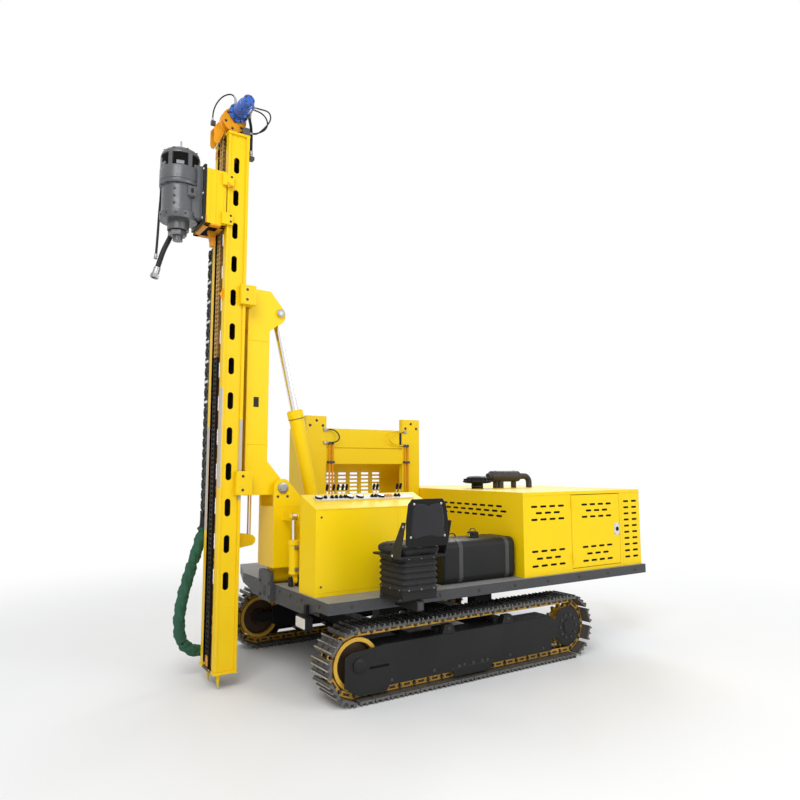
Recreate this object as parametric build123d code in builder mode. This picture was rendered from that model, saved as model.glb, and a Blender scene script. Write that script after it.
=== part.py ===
"""Tracked pile driver rig: crawler base, deck, power pack, seat and console, folding boom,
sliding mast and rotary driving head.

Millimetres. The origin is on the ground, midway along the tracks and between them.
+X is the machine's left, +Y its rear and +Z up; the mast stands at the front, towards -Y.
"""
import math
import os

from build123d import *

os.makedirs("parts", exist_ok=True)

# Tracks: a shoe loop on each side, measured over the lug tips
track_x = 920.0
shoe_width = 270.0
track_length = 2762.0
track_height = 557.0
link_pitch = 135.0
shoe_plate = 12.0
shoe_lug = 20.0
shoe_gap = 8.0
shoe_sink = 4.0
link_height = 56.0
link_width = 26.0
link_offset = 45.0

# Track frames and the wheels in them
frame_width = 200.0
frame_bottom = 172.0
frame_top = 392.0
frame_front = -985.0
frame_rear = 930.0
seat_gap = 0.3
idler_width = 124.0
wheel_room = 8.0
idler_web = 36.0
idler_hub_radius = 62.0
axle_radius = 30.0
sprocket_teeth = 15
sprocket_width = 34.0
roller_radius = 52.0
roller_length = 124.0
roller_count = 5
roller_pitch = 330.0

# Chassis between the tracks
cross_tube = 120.0
cross_tube_y = (-520.0, 520.0)
cross_tube_z = 360.0
rail_x = 480.0
rail_width = 110.0
rail_rear = 1330.0
rail_front = -1180.0

# Deck and front beam
deck_half = 1085.0
deck_front = -1395.0
deck_rear = 2165.0
deck_top = 756.0
deck_thickness = 82.0
deck_corner_x = -560.0
deck_corner_y = -1225.0
beam_depth = 100.0
beam_bottom = 612.0

# Side tilt pivot, low on the front beam
pivot_z = 800.0
pivot_pin_radius = 35.0
pivot_hub_radius = 62.0
pivot_plate_thickness = 30.0
pivot_plate_half = 130.0
pivot_plate_top = 858.0
pivot_notch_half = 125.0
pivot_rear = -1165.0
running_gap = 0.05

# Base box that carries the boom
base_half = 161.0
base_front = -1420.0
base_rear = -1150.0
base_bottom = 889.0
base_shoulder = 1385.0
cheek_thickness = 25.0

# Side tilt cylinder between the deck and the base box's left side
tilt_foot_x = 320.0
tilt_foot_z = 806.0
tilt_head_x = 296.0
tilt_head_z = 1307.0
tilt_y = -1302.0
tilt_barrel_radius = 43.0
tilt_barrel_length = 318.0
tilt_rod_radius = 22.0
tilt_rod_inside = 160.0
tilt_pin_radius = 14.0
tilt_eye_half = 18.0
tilt_lug_thickness = 14.0
tilt_lug_radius = 30.0
lug_gap = 6.0

# Boom pivot on the base box
boom_pivot_y = -1343.0
boom_pivot_z = 1540.0
boom_pin_radius = 30.0
cheek_radius = 77.0

# Fold cylinder between base box and boom nose
fold_base_y = -881.0
fold_base_z = 1000.0
fold_nose_y = -1371.0
fold_nose_z = 3040.0
fold_barrel_radius = 65.0
fold_collar_radius = 71.0
fold_rod_radius = 37.5
fold_barrel_length = 1240.0
fold_rod_inside = 340.0
fold_pin_radius = 28.0
fold_eye_half = 42.0
fold_lug_thickness = 25.0

# Boom
boom_half = 100.0
boom_plate = 14.0
boom_front = -1658.0
boom_back = -1463.0
boom_bottom = 1484.0
boom_top = 3222.0

# Mast
mast_half = 162.0
mast_front = -1893.0
mast_rear = -1716.0
mast_foot = 140.0
mast_top = 4515.0
mast_wall = 12.0
rail_face = 66.0
trough_depth = 60.0
front_flange_half = 172.0
rear_flange_half = 180.0
flange_thickness = 24.0
slot_count = 13
slot_pitch = 285.4
slot_top_z = 4248.0
slot_length = 140.0
slot_height = 48.0
slot_y = -1818.0

# Spikes and foot plate under the mast
foot_plate_thickness = 20.0
spike_length = 108.0
spike_radius = 22.0

# Mast lift
lift_rod_y = -1573.0
lift_pin_z = 1115.0
lift_barrel_radius = 46.0
lift_rod_radius = 17.0
lift_barrel_top = 2900.0

# Carriage and rotary head
carriage_half = 170.0
guide_gap = 0.5
carriage_front = -2068.0
carriage_back = -1903.0
carriage_bottom = 3690.0
carriage_top = 4165.0
head_y = -2244.0
head_radius = 162.0
head_lower_radius = 140.0
spindle_radius = 40.0
spindle_end = 3555.0

# Enclosure over the engine
enclosure_half = 1050.0
enclosure_front = 545.0
enclosure_rear = 2150.0
enclosure_top = 1489.0
enclosure_wall = 30.0
door_front = 1160.0
door_rear = 1835.0
door_bottom = 790.0
door_top = 1452.0
door_gap = 6.0
hinge_radius = 8.0
hinge_pin_radius = 4.0
hinge_length = 40.0
hinge_z = (890.0, 1370.0)

# Console
console_inner = 572.0
console_outer = 842.0
console_front = -1376.0
console_rear = -300.0
console_low = 1400.0
console_high = 1498.0

# Cabinet frame on the right of the deck
cabinet_near = -497.0
cabinet_far = -864.0
cabinet_front = -810.0
cabinet_rear = 540.0
cabinet_top = 2214.0
post_width = 220.0
post_depth = 60.0

# Seat
seat_x = 1215.0
seat_y = -800.0
seat_plate_top = 776.0
seat_arm_bottom = 690.0
bellows_bottom = 840.0
bellows_top = 1069.0

# Fuel tank
tank_outer = 972.0
tank_inner = 600.0
tank_front = -275.0
tank_rear = 515.0
tank_top = 1105.0


def finish(builder, label):
    """Label a finished piece and write it as one STEP file."""
    builder.part.label = label
    export_step(builder.part, f"parts/{label}.step")


# Track loop worked out from its length and height
loop_radius = track_height / 2
shoe_base_radius = loop_radius - shoe_lug - shoe_plate
link_inner_radius = shoe_base_radius - link_height
axle_z = loop_radius
axle_y = (track_length - track_height) / 2
pitch_radius = shoe_base_radius - link_height / 2
loop_perimeter = 4 * axle_y + 2 * math.pi * pitch_radius
shoe_count = round(loop_perimeter / link_pitch)


def shoe_place(index):
    """Centre (y, z) of a shoe's base and the angle its outward side is turned by."""
    run = 2 * axle_y
    bend = math.pi * pitch_radius
    along = (index + 0.5) * loop_perimeter / shoe_count
    if along < run:
        return -axle_y + along, axle_z + shoe_base_radius, 0.0
    along -= run
    if along < bend:
        turn = along / pitch_radius
        side = math.pi / 2 - turn
        return (axle_y + shoe_base_radius * math.cos(side),
                axle_z + shoe_base_radius * math.sin(side), -math.degrees(turn))
    along -= bend
    if along < run:
        return axle_y - along, axle_z - shoe_base_radius, 180.0
    along -= run
    turn = along / pitch_radius
    side = -math.pi / 2 - turn
    return (-axle_y + shoe_base_radius * math.cos(side),
            axle_z + shoe_base_radius * math.sin(side), 180.0 - math.degrees(turn))


shoe_half = loop_perimeter / shoe_count / 2 - shoe_gap / 2
lug_tip = shoe_plate + shoe_lug
# Shoe section: along the track, outwards; two lugs with sloping sides
shoe_section = [
    (-shoe_half, -shoe_sink), (shoe_half, -shoe_sink), (shoe_half, shoe_plate),
    (42, shoe_plate), (36, lug_tip), (26, lug_tip), (20, shoe_plate),
    (-20, shoe_plate), (-26, lug_tip), (-36, lug_tip), (-42, shoe_plate),
    (-shoe_half, shoe_plate),
]

for side_name, side in (("left", 1), ("right", -1)):
    middle = side * track_x
    with BuildPart() as track:
        with BuildSketch(Plane.YZ.offset(middle)):
            for index in range(shoe_count):
                y, z, turn = shoe_place(index)
                with Locations((y, z)):
                    Polygon(*shoe_section, rotation=turn, align=None)
        extrude(amount=shoe_width / 2, both=True)
        for link_side in (-1, 1):
            with BuildSketch(Plane.YZ.offset(middle + link_side * link_offset)):
                with Locations((0, axle_z)):
                    SlotCenterToCenter(2 * axle_y, 2 * shoe_base_radius)
                    SlotCenterToCenter(2 * axle_y, 2 * link_inner_radius, mode=Mode.SUBTRACT)
            extrude(amount=link_width / 2, both=True)
    finish(track, f"track_{side_name}")

    # Side frame: a box beam with a fork round the idler's axle and a motor plate at the rear
    with BuildPart() as track_frame:
        with BuildSketch(Plane.YZ.offset(middle)):
            with BuildLine():
                Polyline((frame_front, frame_bottom + 40), (frame_front + 60, frame_bottom),
                         (frame_rear - 60, frame_bottom), (frame_rear, frame_bottom + 40),
                         (frame_rear, frame_top - 30), (frame_rear - 60, frame_top),
                         (frame_front + 60, frame_top), (frame_front, frame_top - 30), close=True)
            make_face()
        extrude(amount=frame_width / 2, both=True)
        # the lower half is open underneath for the rollers
        with BuildSketch(Plane.YZ.offset(middle)):
            with Locations(((frame_front + frame_rear) / 2, frame_bottom)):
                Rectangle(frame_rear - frame_front - 240, 80)
        extrude(amount=roller_length / 2 + 6, both=True, mode=Mode.SUBTRACT)
        # room for the idler and the sprocket inside the ends of the beam
        for wheel_y in (-axle_y, axle_y):
            with BuildSketch(Plane.YZ.offset(middle)):
                with Locations((wheel_y, axle_z)):
                    Circle(link_inner_radius + wheel_room)
            extrude(amount=idler_width / 2 + wheel_room, both=True, mode=Mode.SUBTRACT)
        for fork_side in (-1, 1):
            with BuildSketch(Plane.YZ.offset(middle + fork_side * (idler_width / 2 + 22))):
                with Locations(((frame_front - axle_y) / 2, axle_z)):
                    SlotOverall(axle_y + frame_front + 140, 90)
            extrude(amount=12, both=True)
            with BuildSketch(Plane.YZ.offset(middle + fork_side * (idler_width / 2 + 22))):
                with Locations(((frame_rear + axle_y) / 2, axle_z)):
                    SlotOverall(axle_y - frame_rear + 140, 150)
            extrude(amount=12, both=True)
        # axles that carry the idler and the sprocket
        with Locations((middle, -axle_y, axle_z), (middle, axle_y, axle_z)):
            Cylinder(axle_radius, idler_width + 60, rotation=(0, 90, 0))
        # lugs on the upper face that keep the returning chain level
        for lug_y in (-297, 315):
            with Locations((middle, lug_y, frame_top + 20)):
                Box(70, 104, 44)
    finish(track_frame, f"track_frame_{side_name}")

with BuildPart() as idlers:
    for side in (1, -1):
        with BuildSketch(Plane.XZ.offset(axle_y)):
            with BuildLine():
                Polyline((side * track_x - idler_width / 2, axle_z + axle_radius + running_gap),
                         (side * track_x + idler_width / 2, axle_z + axle_radius + running_gap),
                         (side * track_x + idler_width / 2, axle_z + idler_hub_radius),
                         (side * track_x + idler_web / 2, axle_z + idler_hub_radius + 14),
                         (side * track_x + idler_web / 2, axle_z + link_inner_radius - 44),
                         (side * track_x + idler_width / 2, axle_z + link_inner_radius - 30),
                         (side * track_x + idler_width / 2, axle_z + link_inner_radius - seat_gap),
                         (side * track_x - idler_width / 2, axle_z + link_inner_radius - seat_gap),
                         (side * track_x - idler_width / 2, axle_z + link_inner_radius - 30),
                         (side * track_x - idler_web / 2, axle_z + link_inner_radius - 44),
                         (side * track_x - idler_web / 2, axle_z + idler_hub_radius + 14),
                         (side * track_x - idler_width / 2, axle_z + idler_hub_radius), close=True)
            make_face()
        revolve(axis=Axis((0, -axle_y, axle_z), (1, 0, 0)))
finish(idlers, "idlers")

sprocket_root = link_inner_radius - 34
sprocket_tip = link_inner_radius - seat_gap
with BuildPart() as sprockets:
    for side in (1, -1):
        with BuildSketch(Plane.YZ.offset(side * track_x)):
            with Locations((axle_y, axle_z)):
                Circle(sprocket_root)
                Circle(axle_radius + running_gap, mode=Mode.SUBTRACT)
            for index in range(sprocket_teeth):
                turn = 360 * index / sprocket_teeth
                with Locations((axle_y, axle_z)):
                    Polygon((sprocket_root - 8, -20), (sprocket_tip - 4, -9),
                            (sprocket_tip - 4, 9), (sprocket_root - 8, 20),
                            rotation=turn, align=None)
        extrude(amount=sprocket_width / 2, both=True)
        with Locations((side * (track_x + sprocket_width / 2 + 12), axle_y, axle_z)):
            Cylinder(104, 24, rotation=(0, 90, 0))
            Cylinder(axle_radius + running_gap, 24, rotation=(0, 90, 0), mode=Mode.SUBTRACT)
finish(sprockets, "sprockets")

with BuildPart() as rollers:
    for side in (1, -1):
        for index in range(roller_count):
            y = (index - (roller_count - 1) / 2) * roller_pitch
            z = axle_z - link_inner_radius + roller_radius + seat_gap
            with Locations((side * track_x, y, z)):
                Cylinder(roller_radius, roller_length, rotation=(0, 90, 0))
finish(rollers, "rollers")

rail_bottom = 540.0
rail_top = deck_top - deck_thickness
frame_inner = track_x - frame_width / 2
with BuildPart() as chassis:
    for y in cross_tube_y:
        with Locations((0, y, cross_tube_z - 50)):
            Box(2 * frame_inner, cross_tube, cross_tube)
    for side in (1, -1):
        for y in cross_tube_y:
            riser_bottom = cross_tube_z - 50 + cross_tube / 2
            with Locations((side * rail_x, y, (riser_bottom + rail_bottom) / 2)):
                Box(rail_width, 200, rail_bottom - riser_bottom)
        with Locations((side * rail_x, (rail_front + rail_rear) / 2, (rail_bottom + rail_top) / 2)):
            Box(rail_width, rail_rear - rail_front, rail_top - rail_bottom)
    for y in (rail_front + 60, 0, rail_rear - 60):
        with Locations((0, y, (rail_bottom + rail_top) / 2 + 20)):
            Box(2 * rail_x - rail_width, 90, rail_top - rail_bottom - 40)
finish(chassis, "chassis")

with BuildPart() as deck:
    with BuildSketch(Plane.XY.offset(deck_top - deck_thickness)):
        with BuildLine():
            Polyline((deck_half, deck_front), (deck_half, deck_rear), (-deck_half, deck_rear),
                     (-deck_half, deck_corner_y), (deck_corner_x, deck_front), close=True)
        make_face()
        with Locations((0, (deck_front + pivot_rear) / 2 - 1)):
            Rectangle(2 * pivot_notch_half, pivot_rear - deck_front + 2, mode=Mode.SUBTRACT)
    extrude(amount=deck_thickness)
finish(deck, "deck")

with BuildPart() as front_beam:
    with BuildSketch(Plane.XZ.offset(-deck_front - beam_depth)):
        with BuildLine():
            Polyline((-560, rail_top), (-430, 650), (-300, beam_bottom), (640, beam_bottom),
                     (780, 632), (900, rail_top), close=True)
        make_face()
    extrude(amount=beam_depth)
    with BuildSketch(Plane.XY.offset(beam_bottom)):
        with Locations((0, (deck_front + pivot_rear) / 2)):
            Rectangle(2 * pivot_notch_half, pivot_rear - deck_front)
    extrude(amount=725 - beam_bottom)
    # front and rear pivot plates and the fixed pin between them
    for plane_y in (deck_front, pivot_rear):
        with BuildSketch(Plane.XZ.offset(-plane_y)):
            with Locations((0, (beam_bottom + pivot_plate_top) / 2)):
                RectangleRounded(2 * pivot_plate_half - 12, pivot_plate_top - beam_bottom, 40)
            with Locations((0, beam_bottom + 40)):
                Rectangle(2 * pivot_plate_half - 12, 80)
        extrude(amount=pivot_plate_thickness)
    with Locations((0, (deck_front + pivot_rear) / 2 - pivot_plate_thickness / 2, pivot_z)):
        Cylinder(pivot_pin_radius, pivot_rear - deck_front, rotation=(90, 0, 0))
finish(front_beam, "front_beam")

tilt_lug_y = tilt_eye_half + lug_gap + tilt_lug_thickness / 2
with BuildPart() as tilt_bracket:
    for side in (1, -1):
        with BuildSketch(Plane.XZ.offset(-(tilt_y + side * tilt_lug_y))):
            with Locations((tilt_foot_x, (deck_top + tilt_foot_z) / 2)):
                Rectangle(2 * tilt_lug_radius, tilt_foot_z - deck_top)
            with Locations((tilt_foot_x, tilt_foot_z)):
                Circle(tilt_lug_radius)
        extrude(amount=tilt_lug_thickness / 2, both=True)
    with Locations((tilt_foot_x, tilt_y, tilt_foot_z)):
        Cylinder(tilt_pin_radius, 2 * tilt_lug_y + tilt_lug_thickness + 12, rotation=(90, 0, 0))
finish(tilt_bracket, "tilt_bracket")

tilt_length = math.hypot(tilt_head_x - tilt_foot_x, tilt_head_z - tilt_foot_z)
tilt_plane = Plane(origin=(tilt_foot_x, tilt_y, tilt_foot_z), x_dir=(0, 1, 0),
                   z_dir=(tilt_head_x - tilt_foot_x, 0, tilt_head_z - tilt_foot_z))
with BuildPart() as tilt_barrel:
    with BuildSketch(tilt_plane.offset(46)):
        Circle(tilt_barrel_radius)
    extrude(amount=tilt_barrel_length - 46)
    with BuildSketch(tilt_plane):
        Rectangle(2 * tilt_eye_half, 50)
    extrude(amount=60)
    with Locations((tilt_foot_x, tilt_y, tilt_foot_z)):
        Cylinder(tilt_lug_radius - 2, 2 * tilt_eye_half, rotation=(90, 0, 0))
        Cylinder(tilt_pin_radius + running_gap, 2 * tilt_eye_half + 2, rotation=(90, 0, 0),
                 mode=Mode.SUBTRACT)
    with BuildSketch(tilt_plane.offset(70)):
        Circle(tilt_rod_radius + running_gap)
    extrude(amount=tilt_barrel_length, mode=Mode.SUBTRACT)
finish(tilt_barrel, "tilt_barrel")

with BuildPart() as tilt_rod:
    with BuildSketch(tilt_plane.offset(tilt_barrel_length - tilt_rod_inside)):
        Circle(tilt_rod_radius)
    extrude(amount=tilt_length - tilt_barrel_length + tilt_rod_inside - 20)
    with Locations((tilt_head_x, tilt_y, tilt_head_z)):
        Cylinder(tilt_lug_radius - 2, 2 * tilt_eye_half, rotation=(90, 0, 0))
finish(tilt_rod, "tilt_rod")

hub_front = deck_front + 10
hub_rear = pivot_rear - pivot_plate_thickness - 10
with BuildPart() as base_box:
    with Locations((0, (base_front + base_rear) / 2, (base_bottom + base_shoulder) / 2)):
        Box(2 * base_half, base_rear - base_front, base_shoulder - base_bottom)
    # cheeks with a round shoulder about the boom pin
    for side in (1, -1):
        with BuildSketch(Plane.YZ.offset(side * (base_half - cheek_thickness / 2))):
            with BuildLine():
                Polyline((base_front, base_shoulder - 20), (base_front, boom_pivot_z))
                RadiusArc((base_front, boom_pivot_z), (boom_pivot_y + 50, boom_pivot_z + 58.6),
                          cheek_radius)
                Polyline((boom_pivot_y + 50, boom_pivot_z + 58.6), (base_rear, 1435),
                         (base_rear, base_shoulder - 20), (base_front, base_shoulder - 20))
            make_face()
        extrude(amount=cheek_thickness / 2, both=True)
    with Locations((0, boom_pivot_y, boom_pivot_z)):
        Cylinder(boom_pin_radius, 2 * base_half + 24, rotation=(0, 90, 0))
    # hub on the side tilt pin and the web above it
    with Locations((0, (hub_front + hub_rear) / 2, pivot_z)):
        Cylinder(pivot_hub_radius, hub_rear - hub_front, rotation=(90, 0, 0))
    with Locations((0, (hub_front + hub_rear) / 2, (pivot_z + base_bottom) / 2)):
        Box(90, hub_rear - hub_front, base_bottom - pivot_z)
    with Locations((0, (hub_front + hub_rear) / 2, pivot_z)):
        Cylinder(pivot_pin_radius + running_gap, hub_rear - hub_front + 2, rotation=(90, 0, 0),
                 mode=Mode.SUBTRACT)
    # rear lugs for the fold cylinder
    for side in (1, -1):
        with BuildSketch(Plane.YZ.offset(side * (fold_eye_half + 8 + fold_lug_thickness / 2))):
            with BuildLine():
                Polyline((base_rear - 10, base_bottom), (fold_base_y, fold_base_z - 60))
                ThreePointArc((fold_base_y, fold_base_z - 60), (fold_base_y + 60, fold_base_z),
                              (fold_base_y, fold_base_z + 60))
                Polyline((fold_base_y, fold_base_z + 60), (base_rear - 10, fold_base_z + 60),
                         (base_rear - 10, base_bottom))
            make_face()
        extrude(amount=fold_lug_thickness / 2, both=True)
    with Locations((0, fold_base_y, fold_base_z)):
        Cylinder(fold_pin_radius, 2 * (fold_eye_half + 8 + fold_lug_thickness) + 16,
                 rotation=(0, 90, 0))
    # left side lugs for the tilt cylinder's rod
    for side in (1, -1):
        with BuildSketch(Plane.XZ.offset(-(tilt_y + side * tilt_lug_y))):
            with Locations(((base_half + tilt_head_x) / 2, tilt_head_z)):
                Rectangle(tilt_head_x - base_half, 2 * tilt_lug_radius)
            with Locations((tilt_head_x, tilt_head_z)):
                Circle(tilt_lug_radius)
        extrude(amount=tilt_lug_thickness / 2, both=True)
        with Locations((tilt_head_x, tilt_y + side * (tilt_lug_y + 4), tilt_head_z)):
            Cylinder(tilt_pin_radius + 4, tilt_lug_thickness + 8, rotation=(90, 0, 0))
finish(base_box, "base_box")

# Fold cylinder at rest, from its base pin to the boom's nose
fold_length = math.hypot(fold_nose_y - fold_base_y, fold_nose_z - fold_base_z)
fold_plane = Plane(origin=(0, fold_base_y, fold_base_z), x_dir=(1, 0, 0),
                   z_dir=(0, fold_nose_y - fold_base_y, fold_nose_z - fold_base_z))
with BuildPart() as fold_barrel:
    with BuildSketch(fold_plane.offset(100)):
        Circle(fold_barrel_radius)
    extrude(amount=fold_barrel_length - 100)
    with BuildSketch(fold_plane.offset(fold_barrel_length - 70)):
        Circle(fold_collar_radius)
    extrude(amount=70)
    with BuildSketch(fold_plane.offset(120)):
        Circle(fold_rod_radius + running_gap)
    extrude(amount=fold_barrel_length, mode=Mode.SUBTRACT)
    with Locations((0, fold_base_y, fold_base_z)):
        Cylinder(56, 2 * fold_eye_half, rotation=(0, 90, 0))
    with BuildSketch(fold_plane):
        Rectangle(2 * fold_eye_half, 80)
    extrude(amount=110)
    with Locations((0, fold_base_y, fold_base_z)):
        Cylinder(fold_pin_radius + running_gap, 2 * fold_eye_half + 2, rotation=(0, 90, 0),
                 mode=Mode.SUBTRACT)
finish(fold_barrel, "fold_barrel")

with BuildPart() as fold_rod:
    with BuildSketch(fold_plane.offset(fold_barrel_length - fold_rod_inside)):
        Circle(fold_rod_radius)
    extrude(amount=fold_length - fold_barrel_length + fold_rod_inside - 40)
    with Locations((0, fold_nose_y, fold_nose_z)):
        Cylinder(54, 2 * fold_eye_half, rotation=(0, 90, 0))
finish(fold_rod, "fold_rod")

with BuildPart() as boom:
    for side in (1, -1):
        with BuildSketch(Plane.YZ.offset(side * (boom_half - boom_plate / 2))):
            with BuildLine():
                Polyline((boom_front, boom_bottom), (-1412, boom_bottom))
                ThreePointArc((-1412, boom_bottom), (boom_pivot_y + 64, boom_pivot_z - 42),
                              (boom_pivot_y + 8, boom_pivot_z + 76))
                Polyline((boom_pivot_y + 8, boom_pivot_z + 76), (boom_back, 1765),
                         (boom_back, 2872), (-1390, 2932))
                ThreePointArc((-1390, 2932), (fold_nose_y + 52, fold_nose_z - 10),
                              (fold_nose_y + 30, fold_nose_z + 44))
                Polyline((fold_nose_y + 30, fold_nose_z + 44), (-1459, boom_top),
                         (boom_front, boom_top + 4), (boom_front, boom_bottom))
            make_face()
        extrude(amount=boom_plate / 2, both=True)
    # back plate closes the channel behind; the front stays open towards the mast
    with Locations((0, boom_back - boom_plate / 2, (1775 + 2800) / 2)):
        Box(2 * boom_half - boom_plate, boom_plate, 2800 - 1775)
    # hub tube on the boom pin
    with Locations((0, boom_pivot_y, boom_pivot_z)):
        Cylinder(58, 2 * 130, rotation=(0, 90, 0))
        Cylinder(boom_pin_radius + running_gap, 2 * 140, rotation=(0, 90, 0), mode=Mode.SUBTRACT)
    # bosses at the nose hold the ends of the rod's pin
    for side in (1, -1):
        with Locations((side * (boom_half + 6), fold_nose_y, fold_nose_z)):
            Cylinder(38, 26, rotation=(0, 90, 0))
    # flange plates and guide claws that hold the mast, upper and lower
    for low, high in ((3047, 3226), (1484, 1690)):
        with Locations((0, boom_front + 12, (low + high) / 2)):
            Box(2 * boom_half + 40, 24, high - low)
        for side in (1, -1):
            claw_low = low + 8
            claw_high = high - 8
            with BuildSketch(Plane.XY.offset(claw_low)):
                with BuildLine():
                    Polyline((side * 100, boom_front + 20), (side * 100, mast_rear + 6),
                             (side * (rear_flange_half + 6), mast_rear + 6),
                             (side * (rear_flange_half + 6), mast_rear - flange_thickness - 6),
                             (side * (mast_half + 7), mast_rear - flange_thickness - 6),
                             (side * (mast_half + 7), mast_rear - flange_thickness - 28),
                             (side * (rear_flange_half + 34), mast_rear - flange_thickness - 28),
                             (side * (rear_flange_half + 34), boom_front + 20), close=True)
                make_face()
            extrude(amount=claw_high - claw_low)
finish(boom, "boom")

with BuildPart() as lift_barrel:
    with Locations((0, lift_rod_y, (boom_bottom + 20 + lift_barrel_top) / 2)):
        Cylinder(lift_barrel_radius, lift_barrel_top - boom_bottom - 20)
        Cylinder(lift_rod_radius + running_gap, lift_barrel_top - boom_bottom + 10,
                 mode=Mode.SUBTRACT)
    with Locations((0, lift_rod_y, lift_barrel_top + 10)):
        Box(2 * (boom_half - boom_plate), 80, 40)
finish(lift_barrel, "lift_barrel")

with BuildPart() as lift_rod:
    with BuildSketch(Plane.XY.offset(lift_pin_z + 26)):
        with Locations((0, lift_rod_y)):
            Circle(lift_rod_radius)
    extrude(amount=1100)
    with Locations((0, lift_rod_y, lift_pin_z)):
        Cylinder(34, 40, rotation=(0, 90, 0))
        Cylinder(16 + running_gap, 42, rotation=(0, 90, 0), mode=Mode.SUBTRACT)
finish(lift_rod, "lift_rod")

with BuildPart() as mast:
    with BuildSketch(Plane.XY.offset(mast_foot)):
        with BuildLine():
            Polyline((-front_flange_half, mast_front), (-front_flange_half + rail_face, mast_front),
                     (-front_flange_half + rail_face, mast_front + trough_depth),
                     (front_flange_half - rail_face, mast_front + trough_depth),
                     (front_flange_half - rail_face, mast_front), (front_flange_half, mast_front),
                     (front_flange_half, mast_front + 20), (mast_half, mast_front + 20),
                     (mast_half, mast_rear - flange_thickness),
                     (rear_flange_half, mast_rear - flange_thickness), (rear_flange_half, mast_rear),
                     (-rear_flange_half, mast_rear), (-rear_flange_half, mast_rear - flange_thickness),
                     (-mast_half, mast_rear - flange_thickness), (-mast_half, mast_front + 20),
                     (-front_flange_half, mast_front + 20), close=True)
        make_face()
        # hollow behind the trough
        with Locations((0, (mast_front + trough_depth + mast_rear) / 2)):
            Rectangle(2 * (mast_half - mast_wall), mast_rear - mast_front - trough_depth - 2 * mast_wall,
                      mode=Mode.SUBTRACT)
    extrude(amount=mast_top - mast_foot)
    for index in range(slot_count):
        with BuildSketch(Plane.YZ.offset(mast_half + 20)):
            with Locations((slot_y, slot_top_z - index * slot_pitch)):
                SlotOverall(slot_length, slot_height, rotation=90)
        extrude(amount=-2 * mast_half - 40, mode=Mode.SUBTRACT)
    # foot plate and head plate
    with Locations((0, (mast_front + mast_rear) / 2, mast_foot - foot_plate_thickness / 2)):
        Box(2 * front_flange_half + 16, mast_rear - mast_front + 12, foot_plate_thickness)
    with Locations((0, (mast_front + mast_rear) / 2, mast_top + foot_plate_thickness / 2)):
        Box(2 * front_flange_half + 16, mast_rear - mast_front + 12, foot_plate_thickness)
    # spikes that bite the ground
    for x in (-120, 120):
        with BuildSketch(Plane.XY.offset(mast_foot - foot_plate_thickness)):
            with Locations((x, mast_front + 50)):
                Circle(spike_radius)
        with BuildSketch(Plane.XY.offset(mast_foot - foot_plate_thickness - spike_length)):
            with Locations((x, mast_front + 50)):
                Circle(4)
        loft()
    # eye bracket for the lift rod
    for side in (1, -1):
        with BuildSketch(Plane.YZ.offset(side * 34)):
            with BuildLine():
                Polyline((mast_rear, lift_pin_z - 66), (lift_rod_y, lift_pin_z - 44))
                ThreePointArc((lift_rod_y, lift_pin_z - 44), (lift_rod_y + 44, lift_pin_z),
                              (lift_rod_y, lift_pin_z + 44))
                Polyline((lift_rod_y, lift_pin_z + 44), (mast_rear, lift_pin_z + 66),
                         (mast_rear, lift_pin_z - 66))
            make_face()
        extrude(amount=8, both=True)
    with Locations((0, lift_rod_y, lift_pin_z)):
        Cylinder(16, 92, rotation=(0, 90, 0))
finish(mast, "mast")

with BuildPart() as feed_chain:
    with Locations((0, mast_front + 4, (mast_foot + mast_top) / 2)):
        Box(76, 36, mast_top - mast_foot)
finish(feed_chain, "feed_chain")

with BuildPart() as energy_chain:
    with Locations((-front_flange_half - 84, mast_front + 30, (1350 + 3620) / 2)):
        Box(80, 60, 3620 - 1350)
    with Locations((-(front_flange_half + 44 + mast_half) / 2, mast_front + 54, 1390)):
        Box(front_flange_half + 44 - mast_half, 12, 60)
finish(energy_chain, "energy_chain")

with BuildPart() as feed_drive:
    with Locations((-10, -1812, mast_top + foot_plate_thickness + 118)):
        Box(210, 150, 236)
    with Locations((170, -1800, mast_top + 225)):
        Cylinder(76, 180, rotation=(0, 90, 0))
finish(feed_drive, "feed_drive")

with BuildPart() as carriage:
    with Locations((0, (carriage_front + carriage_back) / 2, (carriage_bottom + carriage_top) / 2)):
        Box(2 * carriage_half, carriage_back - carriage_front, carriage_top - carriage_bottom)
    with Locations((0, carriage_back - 15, (carriage_bottom + carriage_top) / 2)):
        Box(120, 60, carriage_top - carriage_bottom + 2, mode=Mode.SUBTRACT)
    for side in (1, -1):
        for z in (carriage_bottom + 70, carriage_top - 70):
            with BuildSketch(Plane.XY.offset(z - 50)):
                with BuildLine():
                    Polyline((side * (front_flange_half - 4), carriage_back - 40),
                             (side * (front_flange_half - 4), carriage_back),
                             (side * (front_flange_half + guide_gap), carriage_back),
                             (side * (front_flange_half + guide_gap), mast_front + 26),
                             (side * (mast_half + 6), mast_front + 26),
                             (side * (mast_half + 6), mast_front + 44),
                             (side * (front_flange_half + 26), mast_front + 44),
                             (side * (front_flange_half + 26), carriage_back - 40), close=True)
                make_face()
            extrude(amount=100)
finish(carriage, "carriage")

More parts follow.
